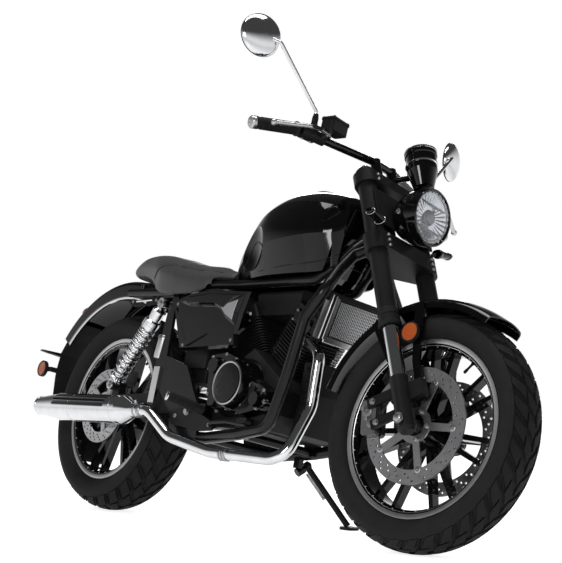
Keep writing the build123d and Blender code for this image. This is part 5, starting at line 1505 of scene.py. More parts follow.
@dataclass(frozen=True)
class EngineTrim:
    """Cover bolts, cover faces and head covers of the engine, and the trim of its front box."""

    face: float = 116.3
    crank: Pair = (765.0, 380.0)
    lean: float = 32.0
    right_dome: Pair = (752.0, 384.0)
    left_dome: Pair = (772.0, 382.0)

    def _cylinders(self, shop: Workshop) -> None:
        """Makes the head covers with their bolts on both cylinders, and the plug caps."""
        covers, bolts, leads = Drawing(), Drawing(), Drawing()
        for lean in (self.lean, -self.lean):
            turn = radians(lean)
            along = Vector((sin(turn), 0, cos(turn)))
            ahead = Vector((cos(turn), 0, -sin(turn)))
            origin = Vector((self.crank[0], 0, self.crank[1]))
            outer = copysign(6, lean)
            for side in SIDES:
                foot = origin + along * 246 + ahead * outer + LEFT * side * 70
                place = Place(foot, ahead * -side, along)
                covers.box(place, (84, 44, 7), 5)
                covers.lathe(foot + LEFT * side * 6, LEFT * side, [(17, 0), (17, 3), (13, 5), (5, 5.5)], 28)
                for u, v in ((-34, -15), (34, -15), (-34, 15), (34, 15)):
                    bolts.bolt(place.at(u, v, 7), LEFT * side, 4.2, 4, socket=True)
                plug = origin + along * 226 + ahead * (outer + copysign(58, lean)) + LEFT * side * 30
                leads.tube([plug, plug + ahead * copysign(14, lean) + along * 12], 8)
        shop.finish_all(
            Body.CHASSIS, (covers, "head_covers", Slot.GLOSS_BLACK), (bolts, "head_bolts", Slot.STEEL),
            (leads, "plug_caps", Slot.RUBBER),
        )

    def make(self, shop: Workshop) -> None:
        """Makes the engine's small parts."""
        self._cylinders(shop)
        bolts, plates, bright = Drawing(), Drawing(), Drawing()
        right = -LEFT
        rim = (
            (628, 464), (690, 472), (740, 457), (816, 405), (888, 370), (896, 338), (866, 320), (690, 308),
            (634, 356), (617, 430),
        )
        for x, z in rim:
            bolts.bolt(Vector((x, -(self.face + 33), z)), right, 5.4, 5, socket=True)
        place = side_place(-(self.face + 34), -1)
        facet = [(640, 446), (672, 452), (700, 420), (684, 388), (650, 398)]
        plates.slab(place, facet, 5, 3)
        facet = [(792, 412), (846, 382), (838, 352), (800, 360)]
        plates.slab(place, facet, 4, 2.4)
        dome_x, dome_z = self.right_dome
        dome = Vector((dome_x, -(self.face + 64), dome_z))
        bright.lathe(dome, right, [(63, -3), (63, 0.6), (60, 1.6), (57, 0.6), (57, -3)], 64, looped=True)
        plates.lathe(dome, right, [(54, -1), (54, 2.4), (50, 4.6), (26, 6.4), (6, 6.8)], 56)
        place = Place(dome + right * 6, AHEAD, UP)
        for first, last in (((-40, -16), (30, 20)), ((-28, -28), (40, 8))):
            du, dv = last[0] - first[0], last[1] - first[1]
            size = hypot(du, dv)
            nu, nv = -dv / size * 3, du / size * 3
            outline = [
                (first[0] - nu, first[1] - nv), (last[0] - nu, last[1] - nv), (last[0] + nu, last[1] + nv),
                (first[0] + nu, first[1] + nv),
            ]
            plates.slab(place, outline, 3.4, 1.2, base=-3)
        unit = Drawing()
        unit.bolt(Vector((70, 0, 0)), right, 4.6, 4, socket=True)
        bolts.absorb(shop.repeat(unit, 7, Vector((dome_x, -(self.face + 36), dome_z)), 360 / 7))
        for x, z in ((700, 455), (762, 466), (842, 434), (872, 380), (852, 324), (790, 307), (702, 311)):
            bolts.bolt(Vector((x, self.face + 21, z)), LEFT, 5.2, 5, socket=True)
        for x, z in ((556, 346), (548, 376), (574, 394), (666, 392), (670, 342)):
            bolts.bolt(Vector((x, self.face + 13, z)), LEFT, 5, 5, socket=True)
        dome_x, dome_z = self.left_dome
        plates.lathe(
            Vector((dome_x, self.face + 48, dome_z)), LEFT,
            [(62, -4), (62, 0.8), (56, 2.6), (30, 4), (6, 4.4)], 56,
        )
        unit = Drawing()
        unit.bolt(Vector((62, 0, 0)), LEFT, 4.6, 4, socket=True)
        bolts.absorb(shop.repeat(unit, 6, Vector((dome_x, self.face + 46, dome_z)), 60))
        shop.finish_all(
            Body.CHASSIS, (bolts, "engine_bolts", Slot.STEEL), (plates, "cover_faces", Slot.ENGINE_BLACK),
            (bright, "cover_ring", Slot.MACHINED),
        )
        box = Drawing()
        for x, z in ((950, 452), (985, 430), (975, 300), (940, 284)):
            box.bolt(Vector((x, -60, z)), right, 5, 4, socket=True)
            box.bolt(Vector((x, 60, z)), LEFT, 5, 4, socket=True)
        for rise in (300, 330, 360, 390, 420):
            rib = side_place(-60, -1, 958, rise)
            box.slab(rib, [(-22, -3), (26, -3), (26, 3), (-22, 3)], 3, 1.4)
        shop.finish(box, "front_box_trim", Slot.BLACK_PLASTIC, Body.CHASSIS)


@dataclass(frozen=True)
class RadiatorTrim:
    """Core, bright strips, cap and hoses of the radiator."""

    half_width: float = 112.0
    height: float = 136.0
    depth: float = 42.0
    fins: int = 30
    tubes: int = 13
    top: Triple = (28.0, 0.0, -297.0)
    facing: Triple = (0.961, 0.0, -0.277)

    def make(self, shop: Workshop) -> None:
        """Makes the radiator's visible parts."""
        ahead = Vector(self.facing).normalized()
        up = ahead.cross(LEFT)
        top = head_point(*self.top)
        high, wide = self.height - 40, 2 * self.half_width - 50
        core = Drawing()
        place = Place(ORIGIN, LEFT, up)
        bar = Drawing()
        bar.slab(place, [(-wide / 2, -1.1), (wide / 2, -1.1), (wide / 2, 1.1), (-wide / 2, 1.1)], 3, 0.6)
        start = top - up * (self.height / 2 + high / 2) - ahead * 7.2
        core.absorb(shop.repeat(bar, self.tubes, start, step=up * (high / (self.tubes - 1))))
        fin = Drawing()
        fin.slab(place, [(-1.1, -high / 2), (1.1, -high / 2), (1.1, high / 2), (-1.1, high / 2)], 2.6, 0.5)
        start = top - up * self.height / 2 - LEFT * wide / 2 - ahead * 7.2
        core.absorb(shop.repeat(fin, self.fins, start, step=LEFT * (wide / (self.fins - 1))))
        shop.finish(core, "radiator_core", Slot.MACHINED, Body.CHASSIS)
        strips = Drawing()
        for side in SIDES:
            foot = top + LEFT * side * (self.half_width + 0.2) - ahead * self.depth / 2
            foot -= up * self.height / 2
            strips.box(Place(foot, ahead * -side, up), (30, self.height - 8, 2.6), 2)
            face = top + LEFT * side * (self.half_width - 11) - up * self.height / 2
            strips.box(Place(face, LEFT, up), (15, self.height - 14, 2), 1.2)
        low = top - up * (self.height - 8) - ahead * 1
        strips.box(Place(low, LEFT, up), (2 * self.half_width - 16, 18, 3), 2)
        shop.finish(strips, "radiator_strips", Slot.MACHINED, Body.CHASSIS)
        black = Drawing()
        head = top - up * 8
        black.box(Place(head - ahead * 1, LEFT, up), (2 * self.half_width - 12, 14, 3.4), 2)
        black.lathe(
            top + LEFT * 84 - ahead * 20 - up * 4, up,
            [(15, 0), (15, 10), (18, 11), (18, 20), (14, 23), (5, 24)], 24,
        )
        shop.finish(black, "radiator_cap", Slot.SATIN_BLACK, Body.CHASSIS)
        hoses = Drawing()
        start = top + LEFT * 70 - ahead * self.depth - up * 20
        hoses.tube(
            [start + ahead * 6, start - ahead * 40, start - ahead * 70 - LEFT * 30 - up * 10], 13, 20, 18
        )
        start = top - LEFT * 70 - ahead * self.depth - up * (self.height - 22)
        hoses.tube([start + ahead * 6, start - ahead * 26, start - ahead * 40 - up * 40], 13, 20, 18)
        shop.finish(hoses, "radiator_hoses", Slot.RUBBER, Body.CHASSIS)


@dataclass(frozen=True)
class ExhaustTrim:
    """Clamp rings, bright rings, flutes and end of the exhaust."""

    axis_left: float = -202.0
    axis_up: float = 290.0
    radius: float = 43.0
    joint_at: Triple = (770.0, -151.0, 187.0)

    def make(self, shop: Workshop) -> None:
        """Makes the exhaust's small parts."""
        chrome, dark, steel = Drawing(), Drawing(), Drawing()
        middle = Vector((0, self.axis_left, self.axis_up))
        for x, radius in ((392, 19), (372, 20.5)):
            ring = [(radius - 3, -4), (radius + 1.6, -3), (radius + 1.6, 3), (radius - 3, 4)]
            steel.lathe(middle + AHEAD * x, AHEAD, ring, 40, looped=True)
        steel.bolt(middle + Vector((380, -16, 20)), Vector((0, -0.6, 0.8)), 4.5, 8)
        joint_at = Vector(self.joint_at)
        for shift in (-11, 0, 11):
            steel.lathe(
                joint_at + AHEAD * shift, AHEAD, [(16, -4), (19.2, -3.2), (19.2, 3.2), (16, 4)], 36,
                looped=True,
            )
        flute = Drawing()
        place = Place(Vector((0, 0, self.radius - 1.4)), AHEAD, LEFT)
        outline = [(-150, -4.6), (146, -4.6), (152, 0), (146, 4.6), (-150, 4.6), (-156, 0)]
        flute.slab(place, outline, 3.4, 1.4)
        flute.move(Matrix.Rotation(radians(28), 4, AHEAD))
        dark.absorb(shop.repeat(flute, 4, middle + AHEAD * 90, turn=19, axis=AHEAD))
        for x in (268, 30):
            ring = [(self.radius - 2, -4), (self.radius + 1, -3), (self.radius + 1, 3), (self.radius - 2, 4)]
            chrome.lathe(middle + AHEAD * x, AHEAD, ring, 56, looped=True)
        end = middle - AHEAD * 190
        tip = 0.72 * self.radius
        chrome.lathe(
            end, -AHEAD,
            [(tip - 7, -26), (tip - 1, -8), (tip + 1.2, -6), (tip + 1.2, 1), (tip - 2, 2.6), (tip - 7, 0.6)],
            56, looped=True,
        )
        dark.lathe(end, -AHEAD, [(tip - 2, -4), (tip - 2, 0.4), (15, 0.4), (15, -3)], 48)
        chrome.lathe(end, -AHEAD, [(13, -2), (16, -1), (16, 3), (13, 3.6)], 36, looped=True)
        shop.finish_all(
            Body.CHASSIS, (chrome, "muffler_rings", Slot.CHROME), (dark, "muffler_flutes", Slot.GLOSS_BLACK),
            (steel, "exhaust_clamps", Slot.STEEL),
        )


@dataclass(frozen=True)
class ChainTrim:
    """Links of the drive chain, and bolts and teeth of the rear sprocket."""

    rear_radius: float = 92.0
    front_radius: float = 30.0
    front: Pair = (582.0, 340.0)
    left: float = 89.3
    height: float = 14.0
    links: int = 108
    teeth: int = 42

    def _path(self) -> list[Vector]:
        """The closed line in the middle of the chain's band."""
        gap = hypot(self.front[0], self.front[1] - REAR_TYRE_RADIUS)
        tilt = atan2(self.front[1] - REAR_TYRE_RADIUS, self.front[0])
        spread = asin((self.rear_radius - self.front_radius) / gap)
        half = self.height / 2
        path = []
        for centre, radius, start, sweep in (
            (self.front, self.front_radius + half, tilt - radians(90) + spread, radians(180) - 2 * spread),
            (
                (0, REAR_TYRE_RADIUS), self.rear_radius + half, tilt + radians(90) - spread,
                radians(180) + 2 * spread,
            ),
        ):
            for index in range(25):
                turn = start + sweep * index / 24
                path.append(
                    Vector((centre[0] + radius * cos(turn), self.left, centre[1] + radius * sin(turn)))
                )
        return path

    def make(self, shop: Workshop) -> None:
        """Makes the links along the band and the sprocket's bolts."""
        link = Drawing()
        outline = []
        for middle, first in ((6.6, -90), (-6.6, 90)):
            for index in range(7):
                turn = radians(first + 30 * index)
                outline.append((middle + 5.4 * cos(turn), 5.4 * sin(turn)))
        for side in SIDES:
            place = Place(Vector((0, side * 7.2, 0)), AHEAD * -side, UP)
            link.slab(place, outline, 1.8, 0.5)
            for x in (-6.6, 6.6):
                link.lathe(Vector((x, side * 8.4, 0)), LEFT * side, [(2.2, 0), (2.2, 1.6), (1.4, 2)], 8)
        links = shop.follow(link, self._path(), self.links)
        shop.finish(links, "chain_links", Slot.CHAIN_STEEL, Body.CHASSIS)
        bolts = Drawing()
        unit = Drawing()
        unit.bolt(Vector((58, 0, 0)), LEFT, 6.5, 6)
        bolts.absorb(shop.repeat(unit, 6, REAR_AXLE + Vector((0, 92.3, 0)), 60))
        tooth = Drawing()
        place = Place(Vector((86, 89.6, 0)), UP, AHEAD)
        tooth.slab(place, [(-3.6, -2), (3.6, -2), (1.4, 5.8), (-1.4, 5.8)], 5.4, 0.8, base=-2.7)
        bolts.absorb(shop.repeat(tooth, self.teeth, REAR_AXLE, 360 / self.teeth))
        shop.finish(bolts, "sprocket_bolts_and_teeth", Slot.STEEL, Body.REAR_WHEEL)


# ================================================================ seat and bodywork
SEAT_SEAM = (
    (196.0, 729.0), (222.0, 752.0), (250.0, 764.0), (290.0, 768.0), (350.0, 758.0), (432.0, 745.0),
    (520.0, 738.0),
)


def surface_of(mesh: bpy.types.Mesh, upright: Matrix) -> BVHTree:
    """A parked mesh's surface on the upright machine, in millimetres."""
    return BVHTree.FromPolygons(
        [upright @ vertex.co for vertex in mesh.vertices], [face.vertices for face in mesh.polygons]
    )


def traced(shape: BVHTree, outline: Sequence[Pair], side: int, bend: float = 12.0) -> list[Vector]:
    """Lays an outline given by x and z on a surface, from that side of the machine.

    Args:
        shape: The surface.
        outline: The outline's corners.
        side: The side that it is seen from.
        bend: Length cut from the runs at each corner.

    Returns:
        The points where it meets the surface.
    """
    path = rounded([Vector((x, side * 260, z)) for x, z in outline], bend)
    hits = [shape.ray_cast(point, LEFT * -side)[0] for point in path]
    return [hit for hit in hits if hit]


@dataclass(frozen=True)
class PaddedSeat:
    """The saddle's cover, blown up by cloth over its foam and sewn along its sides."""

    voxel: float = 0.0055
    shrink: float = 0.0035
    pressure: float = 4.0
    frames: int = 20
    swell: float = 0.006
    seam_width: float = 0.007
    seam_depth: float = 0.0028
    piping: float = 2.1

    def _blank(self) -> bpy.types.Object:
        """Copies the seat's solid, a little smaller, with an even mesh."""
        piece = bpy.data.objects.new("seat_padded", frame["nodes"]["seat"].data.copy())
        bpy.context.scene.collection.objects.link(piece)
        even = piece.modifiers.new("even", "REMESH")
        even.mode = "VOXEL"
        even.voxel_size = self.voxel
        soft = piece.modifiers.new("soft", "SMOOTH")
        soft.factor = 0.5
        soft.iterations = 6
        small = piece.modifiers.new("small", "DISPLACE")
        small.strength = -self.shrink
        small.mid_level = 0
        self._apply(piece)
        return piece

    def _apply(self, piece: bpy.types.Object) -> None:
        """Bakes the piece's modifiers into its mesh."""
        graph = bpy.context.evaluated_depsgraph_get()
        made = bpy.data.meshes.new_from_object(piece.evaluated_get(graph))
        piece.modifiers.clear()
        piece.data = made

    def _inflate(self, piece: bpy.types.Object) -> None:
        """Lets pressure swell the cover, with each point held near where it started."""
        start = [vertex.co.copy() for vertex in piece.data.vertices]
        cloth = piece.modifiers.new("cloth", "CLOTH")
        cloth.settings.use_pressure = True
        cloth.settings.uniform_pressure_force = self.pressure
        cloth.settings.effector_weights.gravity = 0
        scene = bpy.context.scene
        for step in range(1, self.frames + 1):
            scene.frame_set(step)
        self._apply(piece)
        for vertex, first in zip(piece.data.vertices, start):
            way = vertex.co - first
            if way.length > self.swell:
                vertex.co = first + way.normalized() * self.swell
        scene.frame_set(1)

    def _sew(self, piece: bpy.types.Object, upright: Matrix, seams: Sequence[Sequence[Vector]]) -> None:
        """Draws the cover in along its seams.

        Args:
            piece: The seat.
            upright: From the parked place to the upright machine, in millimetres.
            seams: The side seams' points on the upright machine.
        """
        tree = KDTree(sum(len(seam) for seam in seams))
        for index, point in enumerate(point for seam in seams for point in seam):
            tree.insert(point, index)
        tree.balance()
        wide = self.seam_width / MILLIMETRE
        normals = [vertex.normal.copy() for vertex in piece.data.vertices]
        for vertex, normal in zip(piece.data.vertices, normals):
            away = tree.find(upright @ vertex.co)[2] / wide
            vertex.co -= normal * self.seam_depth * exp(-((away * 1.6) ** 2))

    def make(self, shop: Workshop) -> None:
        """Makes the saddle with its piping."""
        piece = self._blank()
        self._inflate(piece)
        divided = piece.modifiers.new("divided", "SUBSURF")
        divided.levels = divided.render_levels = 1
        self._apply(piece)
        upright = shop.stance.of(Body.CHASSIS).inverted()
        shape = surface_of(piece.data, upright)
        seams = [traced(shape, SEAT_SEAM, side) for side in SIDES]
        piping = Drawing()
        for seam in seams:
            piping.tube(seam, self.piping, sides=10)
        self._sew(piece, upright, seams)
        mesh = piece.data
        bpy.data.objects.remove(piece)
        mesh.shade_smooth()
        seat = shop.adopt(mesh, "seat_padded", Slot.SEAT_COVER, Body.CHASSIS, "seat")
        shop.finish(piping, "seat_piping", Slot.SEAT_COVER, Body.CHASSIS)


@dataclass(frozen=True)
class BodyTrim:
    """Bright and small parts of the tank, the side covers and the rear fender."""

    cap_x: float = 820.0
    cap_top: float = 988.0
    cover_left: float = 166.3
    fender_edge: float = 357.0
    fender_half: float = 88.0
    facet: tuple[Pair, ...] = ((588.0, 624.0), (738.0, 654.0), (720.0, 592.0), (716.0, 540.0), (650.0, 572.0))
    bead: float = 1.7
    knee: tuple[Pair, ...] = (
        (606.0, 735.0), (613.0, 765.0), (634.0, 818.0), (661.0, 827.0), (696.0, 806.0), (709.0, 778.0),
        (702.0, 728.0),
    )
    flank: tuple[Pair, ...] = (
        (1010.0, 771.0), (975.0, 748.0), (935.0, 741.0), (823.0, 736.0), (712.0, 730.0)
    )
    strut: tuple[Pair, ...] = (
        (24.0, 664.0), (40.0, 680.0), (186.0, 684.0), (200.0, 668.0), (186.0, 652.0), (60.0, 648.0)
    )

    def make(self, shop: Workshop) -> None:
        """Makes the bodywork's trim."""
        bright, bolts, dark = Drawing(), Drawing(), Drawing()
        top = Vector((self.cap_x, 0, self.cap_top))
        bright.lathe(top, UP, [(31.4, -6), (34.5, -5), (34.5, -2.5), (31.4, -1.5)], 56, looped=True)
        bright.lathe(top, UP, [(13, -0.5), (13, 1.2), (11.6, 2), (7, 2), (6.4, 1.2)], 40)
        for index in range(6):
            turn = tau * index / 6
            start = top + Vector((cos(turn) * 23, sin(turn) * 23, -0.5))
            bolts.bolt(start, UP, 2.4, 2, socket=True)
        for side in SIDES:
            bright.slab(
                side_place(side * self.cover_left, side), self._side(inset(self.facet, 19), side), 0.9, 0.5
            )
            bright.skin([self._band(radians(70 + 75 * index / 50), side) for index in range(51)])
            dark.slab(side_place(side * (self.fender_half - 0.5), side), self._side(self.strut, side), 4, 1)
            slot = [Vector((x, side * (self.fender_half + 3.6), z)) for x, z in ((70, 666), (160, 668))]
            bright.tube(slot, 4, sides=12)
            for x in (52, 184):
                start = Vector((x, side * (self.fender_half + 3.4), 666))
                bolts.bolt(start, LEFT * side, 5.5, 5, socket=True)
            for x, z in ((404, 628), (700, 512), (470, 500)):
                start = Vector((x, side * 156, z))
                bolts.bolt(start, LEFT * side, 4.6, 4, socket=True)
        beads = Drawing()
        shape = surface_of(frame["nodes"]["fuel_tank"].data, shop.stance.of(Body.CHASSIS).inverted())
        for side in SIDES:
            for outline in (self.knee, self.flank):
                beads.tube(traced(shape, outline, side), self.bead, sides=10)
        shop.finish_all(
            Body.CHASSIS, (beads, "tank_beads", Slot.GLOSS_BLACK), (bright, "body_bright_trim", Slot.CHROME),
            (dark, "fender_struts", Slot.SATIN_BLACK), (bolts, "body_bolts", Slot.STEEL),
        )

    def _band(self, turn: float, side: int) -> list[Vector]:
        """Section of the band along the fender's edge, at this angle about the rear axle."""
        across = ((0, -0.8), (0, 2.6), (1.6, 3.6), (11, 3.6), (12.6, 2.6), (12.6, -0.8))
        ring = []
        for rise, proud in across:
            radius = self.fender_edge + rise
            left = side * (self.fender_half + proud)
            ring.append(REAR_AXLE + Vector((cos(turn) * radius, left, sin(turn) * radius)))
        return ring

    def _side(self, outline: Sequence[Pair], side: int) -> list[Pair]:
        """An outline given by x and z, on the plane that faces that side."""
        return [(-side * x, z) for x, z in outline]


@dataclass(frozen=True)
class TailTrim:
    """Dark shells of the rear signals, the reflectors' bezels, the red tail lens and the bracket's bolts."""

    signal: Pair = (-394.5, 496.0)
    reach: Pair = (39.6, 137.0)
    half: Pair = (16.7, 8.7)
    taper: float = 5.0
    lens_turn: float = 133.0
    lens_out: float = 454.4
    reflector: Triple = (-426.0, 103.0, 440.0)

    def make(self, shop: Workshop) -> None:
        """Makes what the tail carries."""
        shells, bezels, bolts, lens = Drawing(), Drawing(), Drawing(), Drawing()
        for side in SIDES:
            rings = []
            for reach, less in (
                (self.reach[0], 0), (self.reach[1] - 3, self.taper), (self.reach[1], self.taper + 2)
            ):
                steps = (tau * index / 40 for index in range(40))
                middle = Vector((self.signal[0], side * reach, self.signal[1]))
                wide, high = self.half[0] - less, self.half[1] - less
                rings.append([middle + Vector((wide * cos(turn), 0, high * sin(turn))) for turn in steps])
            shells.skin(rings)
            out = LEFT * side
            centre = Vector(self.reflector) * Vector((1, side, 1))
            ring = [(25.3, -11), (28, -10), (28, 0.4), (26.6, 1.8), (23.8, 1.8), (23.8, 0.3), (25.3, 0.2)]
            bezels.lathe(centre, out, ring, 48, looped=True)
            for radius in (7, 13, 19):
                ridge = [(radius - 0.8, -0.5), (radius - 0.8, 0.6), (radius + 0.8, 0.6), (radius + 0.8, -0.5)]
                lens.lathe(centre, out, ridge, 40, looped=True)
            for x in (-406, -384):
                bolts.bolt(Vector((x, side * 60, 447.8)), UP, 4.5, 4)
        turn = radians(self.lens_turn)
        out = Vector((cos(turn), 0, sin(turn)))
        place = Place(REAR_AXLE + out * self.lens_out, LEFT, out.cross(LEFT))
        shell = Drawing()
        corners = arc_points((-55.6, 4), (-50, 17), (-37, 22.6), 8)
        outline = [*corners, *((-u, v) for u, v in reversed(corners))]
        outline = [*outline, *((u, -v) for u, v in reversed(outline))]
        shell.slab(place, outline, 28, 3, base=-20)
        shop.finish_all(
            Body.CHASSIS, (shells, "rear_signal_shells", Slot.GLOSS_BLACK),
            (bezels, "rear_reflector_bezels", Slot.BLACK_PLASTIC), (lens, "rear_reflector_ribs", Slot.AMBER),
        )
        red = shop.finish(shell, "tail_lens", Slot.AMBER, Body.CHASSIS)
        red.data.materials[0] = shop.wardrobe.red_lens
        shop.finish(bolts, "tail_bolts", Slot.STEEL, Body.CHASSIS)


@dataclass(frozen=True)
class FootrestTrim:
    """Rubbers and end caps of the pegs, the pedals' pads and the hangers' bolts."""

    foot: Triple = (640.0, 160.0, 306.0)
    tip: Triple = (606.0, 268.0, 324.0)
    rubber: float = 15.4
    ribs: int = 9

    def make(self, shop: Workshop) -> None:
        """Makes the small parts of both footrests."""
        rubber, bright, bolts = Drawing(), Drawing(), Drawing()
        for side in SIDES:
            mirror = Vector((1, side, 1))
            start, end = Vector(self.foot) * mirror, Vector(self.tip) * mirror
            way = (end - start).normalized()
            length = (end - start).length
            profile = []
            for index in range(self.ribs):
                rise = length * (0.3 + 0.62 * index / (self.ribs - 1))
                profile += [
                    (self.rubber - 1.4, rise - 3.4), (self.rubber, rise - 2.2), (self.rubber, rise + 2.2),
                    (self.rubber - 1.4, rise + 3.4),
                ]
            rubber.lathe(start, way, profile, 28)
            bright.lathe(start, way, [(13.6, length - 1), (13.6, length + 1.5), (11, length + 3)], 28)
            pad = Place(Vector((878, side * 194, 270)), AHEAD, LEFT)
            rubber.box(pad, (44, 24, 7), 2)
            out = LEFT * side
            bolts.bolt(Vector((570, side * 166, 300)), out, 9, 8)
            for x, z in ((520, 286), (690, 264)):
                bolts.bolt(Vector((x, side * 165.8, z)), out, 6, 5, socket=True)
        shop.finish_all(
            Body.CHASSIS, (rubber, "peg_rubbers", Slot.RUBBER), (bright, "peg_caps", Slot.CHROME),
            (bolts, "hanger_bolts", Slot.STEEL),
        )


@dataclass(frozen=True)
class RearHubTrim:
    """Axle nuts, pivot caps and caliper bolts."""

    axle_end: float = 144.0
    pivot: Pair = (505.0, 335.0)
    pivot_end: float = 154.0

    def make(self, shop: Workshop) -> None:
        """Makes the small parts around the rear wheel."""
        bolts = Drawing()
        for side in SIDES:
            out = LEFT * side
            bolts.bolt(REAR_AXLE + out * (self.axle_end - 1), out, 14, 12)
            bolts.bolt(
                Vector((self.pivot[0], side * (self.pivot_end - 1), self.pivot[1])), out, 12, 8, socket=True
            )
        for x, z in ((66, 396), (118, 396), (66, 424), (118, 424)):
            bolts.bolt(Vector((x, -111.4, z)), -LEFT, 5, 4.5, socket=True)
        shop.finish(bolts, "rear_hub_bolts", Slot.STEEL, Body.CHASSIS)


@dataclass(frozen=True)
class StandSpring:
    """Return spring beside the side stand's leg."""

    pivot: Triple = (756.0, 159.0, 214.0)
    down: Triple = (0.4475, 0.5455, -0.7087)
    top: float = 18.0
    length: float = 84.0
    aside: float = 16.0
    radius: float = 4.6
    wire: float = 1.1
    turns: int = 22
    steps: int = 12

    def make(self, shop: Workshop) -> None:
        """Makes the spring and the pin at its foot."""
        down = Vector(self.down).normalized()
        across = LEFT.cross(down).normalized()
        other = down.cross(across)
        start = Vector(self.pivot) + down * self.top + across * self.aside
        coil = []
        for index in range(self.turns * self.steps + 1):
            turn = tau * index / self.steps
            ring = across * cos(turn) + other * sin(turn)
            coil.append(start + down * self.length * index / (self.turns * self.steps) + ring * self.radius)
        steel = Drawing()
        steel.tube(coil, self.wire, sides=7)
        foot = start + down * (self.length + 2)
        steel.tube([foot - across * (self.aside - 6), foot + across * 4], 3.4, sides=14)
        shop.finish(steel, "stand_spring", Slot.STEEL, Body.SIDE_STAND)


# ================================================================ studio
@dataclass(frozen=True)
class Viewpoint:
    """Where the camera stands and how it looks, given from the rear axle."""

    offset: Triple = (3.895632, -2.544921, 0.079412)
    yaw: float = 140.73883
    pitch: float = 4.42100
    roll: float = 1.22913
    lens: float = 90.42891
    sensor: float = 36.0

    def make(self) -> bpy.types.Object:
        """Makes the camera and sets it as the scene's.

        Returns:
            The camera object.
        """
        data = bpy.data.cameras.new("camera")
        data.lens = self.lens
        data.sensor_width = self.sensor
        data.sensor_fit = "HORIZONTAL"
        data.clip_end = 60
        camera = bpy.data.objects.new("camera", data)
        bpy.context.scene.collection.objects.link(camera)
        yaw, pitch, roll = radians(self.yaw), radians(self.pitch), radians(self.roll)
        ahead = Vector((cos(yaw) * cos(pitch), sin(yaw) * cos(pitch), sin(pitch)))
        level = ahead.cross(UP).normalized()
        right = cos(roll) * level + sin(roll) * level.cross(ahead)
        up = right.cross(ahead)
        turn = Matrix((right, up, -ahead)).transposed().to_4x4()
        place = Vector(joint("rear_wheel_spin")["pos_m"]) + Vector(self.offset)
        camera.matrix_world = Matrix.Translation(place) @ turn
        bpy.context.scene.camera = camera
        return camera


@dataclass(frozen=True)
class SoftLamp:
    """One large studio lamp that faces the motorcycle."""

    name: str
    place: Triple
    aim: Triple
    size: tuple[float, float]
    power: float

    def make(self) -> None:
        """Makes the lamp."""
        data = bpy.data.lights.new(self.name, "AREA")
        data.shape = "RECTANGLE"
        data.size, data.size_y = self.size
        data.energy = self.power
        lamp = bpy.data.objects.new(self.name, data)
        bpy.context.scene.collection.objects.link(lamp)
        lamp.location = self.place
        lamp.rotation_euler = (Vector(self.aim) - Vector(self.place)).to_track_quat("-Z", "Y").to_euler()


LAMPS = (
    SoftLamp("top_lamp", (0.4, -0.3, 3.2), (0.0, 0.0, 0.4), (2.4, 0.9), 46.0),
    SoftLamp("side_lamp", (1.6, -3.6, 1.9), (0.1, 0.0, 0.5), (1.0, 0.8), 36.0),
    SoftLamp("far_lamp", (-2.6, 2.8, 2.2), (0.0, 0.0, 0.6), (1.4, 0.8), 26.0),
)


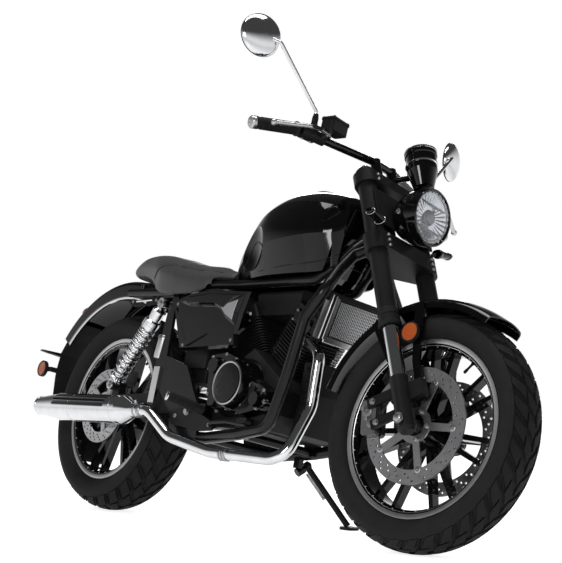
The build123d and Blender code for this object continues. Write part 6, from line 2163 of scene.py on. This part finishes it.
@dataclass(frozen=True)
class Studio:
    """White surroundings, a pale floor and soft lamps."""

    floor_size: float = 40.0
    floor_colour: Triple = (0.86, 0.86, 0.86)
    fill: float = 0.42
    ceiling: float = 0.06
    dim_from: float = 0.08
    dim_to: float = 0.42
    floor_glow: float = 0.5
    floor_white: float = 0.8
    floor_roughness: float = 0.85

    def _world(self) -> None:
        """Makes the world white to the eye, dim overhead in reflections, and a soft fill otherwise."""
        world = bpy.data.worlds.new("studio")
        bpy.context.scene.world = world
        world.use_nodes = True
        tree = world.node_tree
        tree.nodes.clear()
        path = add_node(tree, "ShaderNodeLightPath").outputs
        seen = math_node(tree, "ADD", path["Is Camera Ray"], path["Is Glossy Ray"])
        through = math_node(tree, "ADD", seen, path["Is Transmission Ray"], clamp=True)
        way = add_node(tree, "ShaderNodeTexCoord").outputs["Generated"]
        parts = add_node(tree, "ShaderNodeSeparateXYZ", {"Vector": way})
        inputs = {
            "Value": parts.outputs["Z"], "From Min": self.dim_from, "From Max": self.dim_to, "To Min": 1,
            "To Max": self.ceiling,
        }
        height = add_node(tree, "ShaderNodeMapRange", inputs, interpolation_type="SMOOTHSTEP")
        bright = math_node(tree, "MAXIMUM", path["Is Camera Ray"], height.outputs["Result"])
        white = add_node(tree, "ShaderNodeBackground", {"Color": bright})
        inputs = {"Strength": self.fill, "Color": (1, 1, 1, 1)}
        soft = add_node(tree, "ShaderNodeBackground", inputs)
        inputs = {0: through, 1: soft.outputs[0], 2: white.outputs[0]}
        mix = add_node(tree, "ShaderNodeMixShader", inputs)
        add_node(tree, "ShaderNodeOutputWorld", {"Surface": mix.outputs[0]})

    def _floor(self) -> None:
        """Lays the floor under both tyres and the stand."""
        half = self.floor_size / 2
        mesh = bpy.data.meshes.new("floor")
        corners = [(-half, -half, 0), (half, -half, 0), (half, half, 0), (-half, half, 0)]
        mesh.from_pydata(corners, [], [(0, 1, 2, 3)])
        floor = bpy.data.objects.new("floor", mesh)
        bpy.context.scene.collection.objects.link(floor)
        material = bpy.data.materials.new("pale_floor")
        material.use_nodes = True
        tree = material.node_tree
        path = add_node(tree, "ShaderNodeLightPath").outputs
        seen = math_node(tree, "MULTIPLY", path["Is Camera Ray"], self.floor_white)
        glow = math_node(tree, "MULTIPLY_ADD", path["Is Glossy Ray"], self.floor_glow, seen)
        inputs = {
            "Base Color": (*self.floor_colour, 1), "Roughness": self.floor_roughness,
            "Emission Color": (1, 1, 1, 1), "Emission Strength": glow,
        }
        set_inputs(tree.nodes["Principled BSDF"], inputs)
        mesh.materials.append(material)

    def make(self) -> None:
        """Makes the surroundings, the floor, the lamps and the camera."""
        bpy.context.scene.view_settings.view_transform = "Standard"
        self._world()
        self._floor()
        for lamp in LAMPS:
            lamp.make()
        Viewpoint().make()


def main() -> None:
    """Dresses the motorcycle and sets up the studio."""
    logging.basicConfig(level=logging.INFO, format="%(name)s: %(message)s")
    Studio().make()
    shop = Workshop()
    shop.wardrobe.dress_nodes()
    make_wheels(shop)
    for assembly in (ForkTrim(), HeadlightTrim(), GaugeTrim(), BarTrim(), MirrorTrim(), CaliperTrim()):
        assembly.make(shop)
    make_front_lamps(shop)
    for assembly in (ShockTrim(), EngineTrim(), RadiatorTrim(), ExhaustTrim(), ChainTrim()):
        assembly.make(shop)
    for assembly in (PaddedSeat(), BodyTrim(), TailTrim(), FootrestTrim(), RearHubTrim(), StandSpring()):
        assembly.make(shop)
    for piece in shop.made:
        log.info("made %s with %d faces", piece.name, len(piece.data.polygons))


if __name__ == "__main__":
    main()
